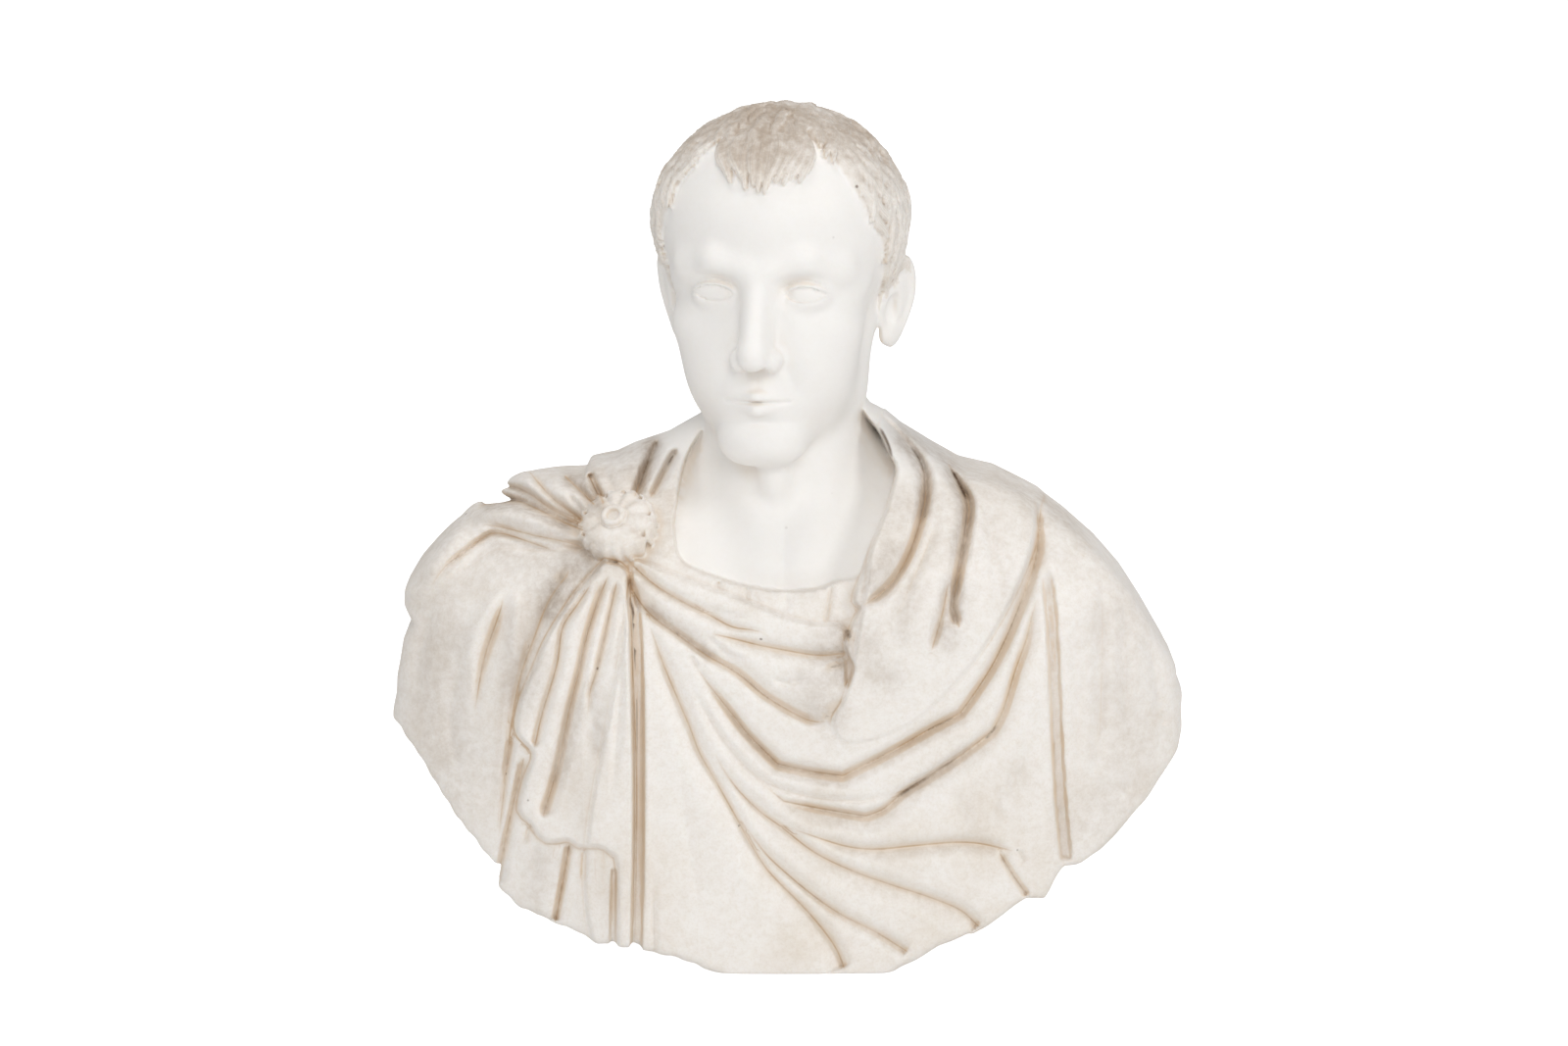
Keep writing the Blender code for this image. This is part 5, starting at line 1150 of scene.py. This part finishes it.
def span(tree, value, low, high, to_low=0.0, to_high=1.0):
    node = add_node(tree, "ShaderNodeMapRange", interpolation_type="SMOOTHSTEP")
    wire(tree, value, node.inputs["Value"])
    for name, number in (("From Min", low), ("From Max", high), ("To Min", to_low), ("To Max", to_high)):
        node.inputs[name].default_value = number
    return node.outputs["Result"]


def tint(tree, amount, under, over, kind="MIX"):
    node = add_node(tree, "ShaderNodeMix", data_type="RGBA", blend_type=kind)
    wire(tree, amount, node.inputs[0])
    wire(tree, under, node.inputs[6])
    wire(tree, over, node.inputs[7])
    return node.outputs[2]


def cloud(tree, where, scale, detail, rough):
    node = add_node(tree, "ShaderNodeTexNoise")
    wire(tree, where, node.inputs["Vector"])
    node.inputs["Scale"].default_value = scale
    node.inputs["Detail"].default_value = detail
    node.inputs["Roughness"].default_value = rough
    return node.outputs["Fac"]


def mark_of(tree, name):
    node = add_node(tree, "ShaderNodeAttribute", attribute_name=name, attribute_type="GEOMETRY")
    return node.outputs["Fac"]


def specks(tree, where, scale, size, share):
    """Small round spots, on a share of the cells of a scattered grid."""
    cells = add_node(tree, "ShaderNodeTexVoronoi", feature="F1")
    wire(tree, where, cells.inputs["Vector"])
    cells.inputs["Scale"].default_value = scale
    spot = span(tree, cells.outputs["Distance"], size, size * 0.45)
    pick = add_node(tree, "ShaderNodeSeparateColor")
    wire(tree, cells.outputs["Color"], pick.inputs[0])
    chosen = maths(tree, "LESS_THAN", pick.outputs[0], share)
    return maths(tree, "MULTIPLY", spot, chosen)


# Stone
CLEAN_STONE = (0.945, 0.930, 0.908)
CLOTH_STONE = (0.945, 0.918, 0.885)
HAIR_STONE = (0.935, 0.910, 0.875)
WARM_STONE = (0.850, 0.790, 0.715)
SPECKLED = (0.90, 0.87, 0.83)
# Colour of the painted shade in the hollows and beside the creases
HOLLOW_SHADE_BEIGE = (0.800, 0.680, 0.545)
# Colour of the thin crease line, partly grime and partly painted shade
CREASE_GRIME_AND_SHADE_TAN = (0.560, 0.390, 0.235)
DEEP_BROWN = (0.140, 0.088, 0.055)
GRIME_GREY = (0.400, 0.320, 0.250)
# Colour of the painted shade between locks and strands
HAIR_GAP_SHADE = (0.500, 0.400, 0.310)
RUST = (0.520, 0.290, 0.110)


class Stone:
    """The marble's node tree, with the marks and clouds that its layers share."""

    def __init__(self, tree):
        self.tree = tree
        self.where = add_node(tree, "ShaderNodeTexCoord").outputs["Object"]
        for name in ("skin", "hair", "gap", "crease", "hollow", "upward", "grime", "line", "comb"):
            setattr(self, name, mark_of(tree, name))
        self.broad = cloud(tree, self.where, 6.0, 5.0, 0.6)
        self.middle = cloud(tree, self.where, 26.0, 5.0, 0.62)
        self.fine = cloud(tree, self.where, 170.0, 4.0, 0.65)
        self.grit = cloud(tree, self.where, 520.0, 2.0, 0.7)
        self.on_cloth = self.eased(self.skin, 0.0, 1.0, 1.0, 0.12)
        self.patchy = self.scaled(self.eased(self.middle, 0.30, 0.72), 0.5, 0.5)
        self.colour = tint(tree, self.skin, CLOTH_STONE, CLEAN_STONE)

    def times(self, a, b):
        return maths(self.tree, "MULTIPLY", a, b)

    def plus(self, a, b):
        return maths(self.tree, "ADD", a, b)

    def most(self, a, b):
        return maths(self.tree, "MAXIMUM", a, b)

    def scaled(self, value, by, more):
        return self.plus(self.times(value, by), more)

    def eased(self, value, low, high, to_low=0.0, to_high=1.0):
        return span(self.tree, value, low, high, to_low, to_high)

    def lay(self, amount, colour, kind="MIX"):
        """Lays a colour over what is there."""
        self.colour = tint(self.tree, amount, self.colour, colour, kind)

    def warm_and_mottled(self):
        self.lay(self.hair, HAIR_STONE)
        warm = self.times(self.eased(self.broad, 0.38, 0.68), self.eased(self.middle, 0.25, 0.75))
        self.lay(self.times(warm, self.on_cloth), WARM_STONE)
        mottle = self.times(self.eased(self.fine, 0.38, 0.68), 0.5)
        mottle = self.plus(mottle, self.times(self.eased(self.grit, 0.40, 0.72), 0.6))
        self.lay(self.times(mottle, self.eased(self.skin, 0.0, 1.0, 0.75, 0.15)), SPECKLED, "MULTIPLY")

    def painted_hollow_shade(self):
        """Painted shade in beige: in the hollows, by how enclosed each point is, and beside the creases;
        weaker on the skin.
        """
        shade = self.times(self.eased(self.hollow, 0.34, 0.90), self.patchy)
        beside = self.times(self.eased(self.crease, 0.06, 0.50), 0.60)
        shade = self.most(shade, self.times(beside, self.on_cloth))
        self.lay(self.times(shade, self.eased(self.skin, 0.0, 1.0, 1.0, 0.40)), HOLLOW_SHADE_BEIGE)

    def grime_patches(self):
        """Speckled grime on the cloth, where it faces up, and all over the crown."""
        speckle = self.times(self.eased(self.fine, 0.30, 0.70), 0.45)
        speckle = self.plus(speckle, self.times(self.eased(self.middle, 0.30, 0.66), 0.55))
        lies = self.times(self.eased(self.upward, 0.18, 0.90), self.eased(self.broad, 0.22, 0.56))
        lies = self.times(lies, self.scaled(self.hair, 0.60, 0.38))
        lies = self.times(lies, self.eased(self.skin, 0.0, 0.6, 1.0, 0.0))
        self.dusty = self.times(self.most(self.grime, lies), self.scaled(speckle, 0.75, 0.22))
        self.lay(self.dusty, GRIME_GREY)

    def hair_dirt(self):
        """Painted shade between the locks and strands, and in all narrow corners."""
        strand = maths(self.tree, "SINE", self.times(self.comb, 15.0))
        self.strand = self.times(self.scaled(strand, 0.5, 0.5), self.hair)
        # Painted shade in the grooves between strands.
        between = self.times(self.times(self.strand, self.patchy), 0.30)
        self.lay(self.most(self.times(self.gap, 0.55), between), HAIR_GAP_SHADE)

    def crease_lines(self):
        """A thin tan line along each crease, partly grime and partly painted shade, nearly black where
        stains are packed.
        """
        thin = maths(self.tree, "EXPONENT", self.times(self.times(self.line, self.line), -1.6))
        broken = self.scaled(self.eased(self.middle, 0.34, 0.66), 0.65, 0.30)
        thin = self.times(self.times(thin, broken), self.eased(self.crease, 0.08, 0.42))
        self.lay(self.times(thin, self.on_cloth), CREASE_GRIME_AND_SHADE_TAN)
        packed = self.times(self.eased(self.crease, 0.52, 0.98), self.eased(self.middle, 0.25, 0.55))
        packed = self.times(packed, self.eased(self.fine, 0.20, 0.50, 0.45, 1.0))
        self.lay(packed, DEEP_BROWN)

    def pits_and_rust(self):
        pits = specks(self.tree, self.where, 60.0, 0.09, 0.10)
        self.pits = self.times(pits, self.eased(self.skin, 0.0, 1.0, 0.70, 0.15))
        self.lay(self.pits, DEEP_BROWN)
        self.lay(self.times(specks(self.tree, self.where, 36.0, 0.10, 0.035), 0.65), RUST)

    def surface(self, shader):
        """Colour, gloss and fine grain of the stone."""
        link = self.tree.links.new
        link(self.colour, shader.inputs["Base Color"])
        rough = self.plus(self.times(self.fine, 0.16), self.eased(self.skin, 0.0, 1.0, 0.52, 0.40))
        link(self.plus(rough, self.times(self.dusty, 0.2)), shader.inputs["Roughness"])
        shader.inputs["Specular IOR Level"].default_value = 0.35
        shader.inputs["Subsurface Weight"].default_value = 0.06
        shader.inputs["Subsurface Radius"].default_value = (0.004, 0.003, 0.002)
        shader.inputs["Subsurface Scale"].default_value = 1.0
        grain = self.plus(self.times(self.fine, 0.6), self.times(self.middle, 0.9))
        grain = self.plus(grain, self.times(self.pits, -1.5))
        grain = self.plus(grain, self.times(self.strand, -0.8))
        bump = add_node(self.tree, "ShaderNodeBump")
        bump.inputs["Strength"].default_value = 0.30
        bump.inputs["Distance"].default_value = 0.0006
        link(grain, bump.inputs["Height"])
        link(bump.outputs["Normal"], shader.inputs["Normal"])


def bust_stone():
    # The stone's colour holds grime and weathering as well as painted shade in hollows, creases and gaps.
    material = bpy.data.materials.new("weathered_and_shaded_marble")
    material.use_nodes = True
    stone = Stone(material.node_tree)
    stone.warm_and_mottled()
    stone.painted_hollow_shade()
    stone.grime_patches()
    stone.hair_dirt()
    stone.crease_lines()
    stone.pits_and_rust()
    stone.surface(material.node_tree.nodes["Principled BSDF"])
    return material


def carved_bust():
    longer = ((1.0, 1.0, 1.0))
    face_step, cloth_step, depth_step = FACE_STEP * longer[0], CLOTH_STEP * longer[1], DEPTH_STEP * longer[2]
    sheets = (outline_sheet(1.5, 0.7), fold_sheet(1.0, 1.3), neckline_sheet(1.2), hair_sheet(0.005))
    crown = HEAD_ORIGIN[2] * BODY + HAIR_TOP * HEAD
    xs = fine_axis(GRID_X[0] * BODY, GRID_X[1] * BODY, HEAD_X[0] * BODY, HEAD_X[1] * BODY,
                   face_step, cloth_step)
    ys = np.arange(GRID_Y[0] * BODY, GRID_Y[1] * BODY, depth_step)
    zs = fine_axis(GRID_LOW, crown, HEAD_Z * BODY, crown, face_step, cloth_step)

    def form(x, y, z):
        return bust_form(x, y, z, sheets)

    points, quads = net_of(near_field(xs, ys, zs, form), xs, ys, zs)
    mesh = thinned(mesh_from(points, quads, "carved_bust"), MOST_TRIANGLES)
    mesh.name = "carved_bust"
    mesh.polygons.foreach_set("use_smooth", np.ones(len(mesh.polygons), bool))
    mark_surface(mesh, form, sheets)
    mesh.materials.clear()
    mesh.materials.append(bust_stone())
    bust = bpy.data.objects.new("carved_bust", mesh)
    bpy.context.scene.collection.objects.link(bust)
    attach(bust, "root")
    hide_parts("marble_bust")


# Floor, light and camera, in metres
FLOOR_HALF = 30.0
AIM_HEIGHT = 0.33        # the lights look here
LENS_MM = 93.75
SENSOR_MM = 36.0
# Each light: its place, its size and its watts
LIGHTS = {
    "front_box": ((0.2, -3.0, 1.9), 1.4, 25.0),
    "left_box": ((-2.3, -1.6, 1.6), 0.9, 8.0),
    "right_box": ((2.3, -1.6, 1.9), 0.9, 20.0),
    "top_box": ((-0.3, 0.1, 2.5), 0.9, 10.0),
}


def pale_floor():
    mesh = bpy.data.meshes.new("floor")
    h = FLOOR_HALF
    mesh.from_pydata([(-h, -h, 0), (h, -h, 0), (h, h, 0), (-h, h, 0)], [], [(0, 1, 2, 3)])
    floor = bpy.data.objects.new("floor", mesh)
    floor.location = (0, 0, -0.0004)
    bpy.context.scene.collection.objects.link(floor)
    material = bpy.data.materials.new("floor_paper")
    material.use_nodes = True
    tree = material.node_tree
    shader = tree.nodes["Principled BSDF"]
    shader.inputs["Base Color"].default_value = (0.86, 0.86, 0.86, 1.0)
    shader.inputs["Roughness"].default_value = 0.9
    shader.inputs["Specular IOR Level"].default_value = 0.1
    shader.inputs["Emission Color"].default_value = (1.0, 1.0, 1.0, 1.0)
    seen = add_node(tree, "ShaderNodeLightPath").outputs["Is Camera Ray"]
    tree.links.new(span(tree, seen, 0.0, 1.0, 0.05, 0.95), shader.inputs["Emission Strength"])
    mesh.materials.append(material)


def softbox(name, place, size, watts):
    data = bpy.data.lights.new(name, "AREA")
    data.shape = "DISK"
    data.size = size
    data.energy = watts
    lamp = bpy.data.objects.new(name, data)
    lamp.location = place
    way = Vector((0.0, 0.0, AIM_HEIGHT)) - Vector(place)
    lamp.rotation_euler = way.to_track_quat("-Z", "Y").to_euler()
    bpy.context.scene.collection.objects.link(lamp)


def studio():
    world = bpy.data.worlds.new("studio")
    bpy.context.scene.world = world
    world.use_nodes = True
    tree = world.node_tree
    back = tree.nodes["Background"]
    back.inputs["Color"].default_value = (1.0, 0.985, 0.965, 1.0)
    rays = add_node(tree, "ShaderNodeLightPath")
    strength = span(tree, rays.outputs["Is Camera Ray"], 0.0, 1.0, 0.44, 1.1)
    tree.links.new(strength, back.inputs["Strength"])
    for name, (place, size, watts) in LIGHTS.items():
        softbox(name, place, size, watts)


def camera():
    data = bpy.data.cameras.new("camera")
    data.lens = LENS_MM
    data.sensor_width = SENSOR_MM
    data.clip_end = 200.0
    eye = bpy.data.objects.new("camera", data)
    aim = Vector((0.0, 0.0, AIM_UP / math.cos(VIEW_TILT) * 0.001))
    away = Vector((0.0, -math.cos(VIEW_TILT), math.sin(VIEW_TILT))) * (VIEW_FAR * 0.001)
    eye.location = aim + away
    eye.rotation_euler = (-away).to_track_quat("-Z", "Y").to_euler()
    bpy.context.scene.collection.objects.link(eye)
    bpy.context.scene.camera = eye


carved_bust()
pale_floor()
studio()
camera()
bpy.context.scene.view_settings.view_transform = "Standard"
bpy.context.scene.view_settings.look = "None"
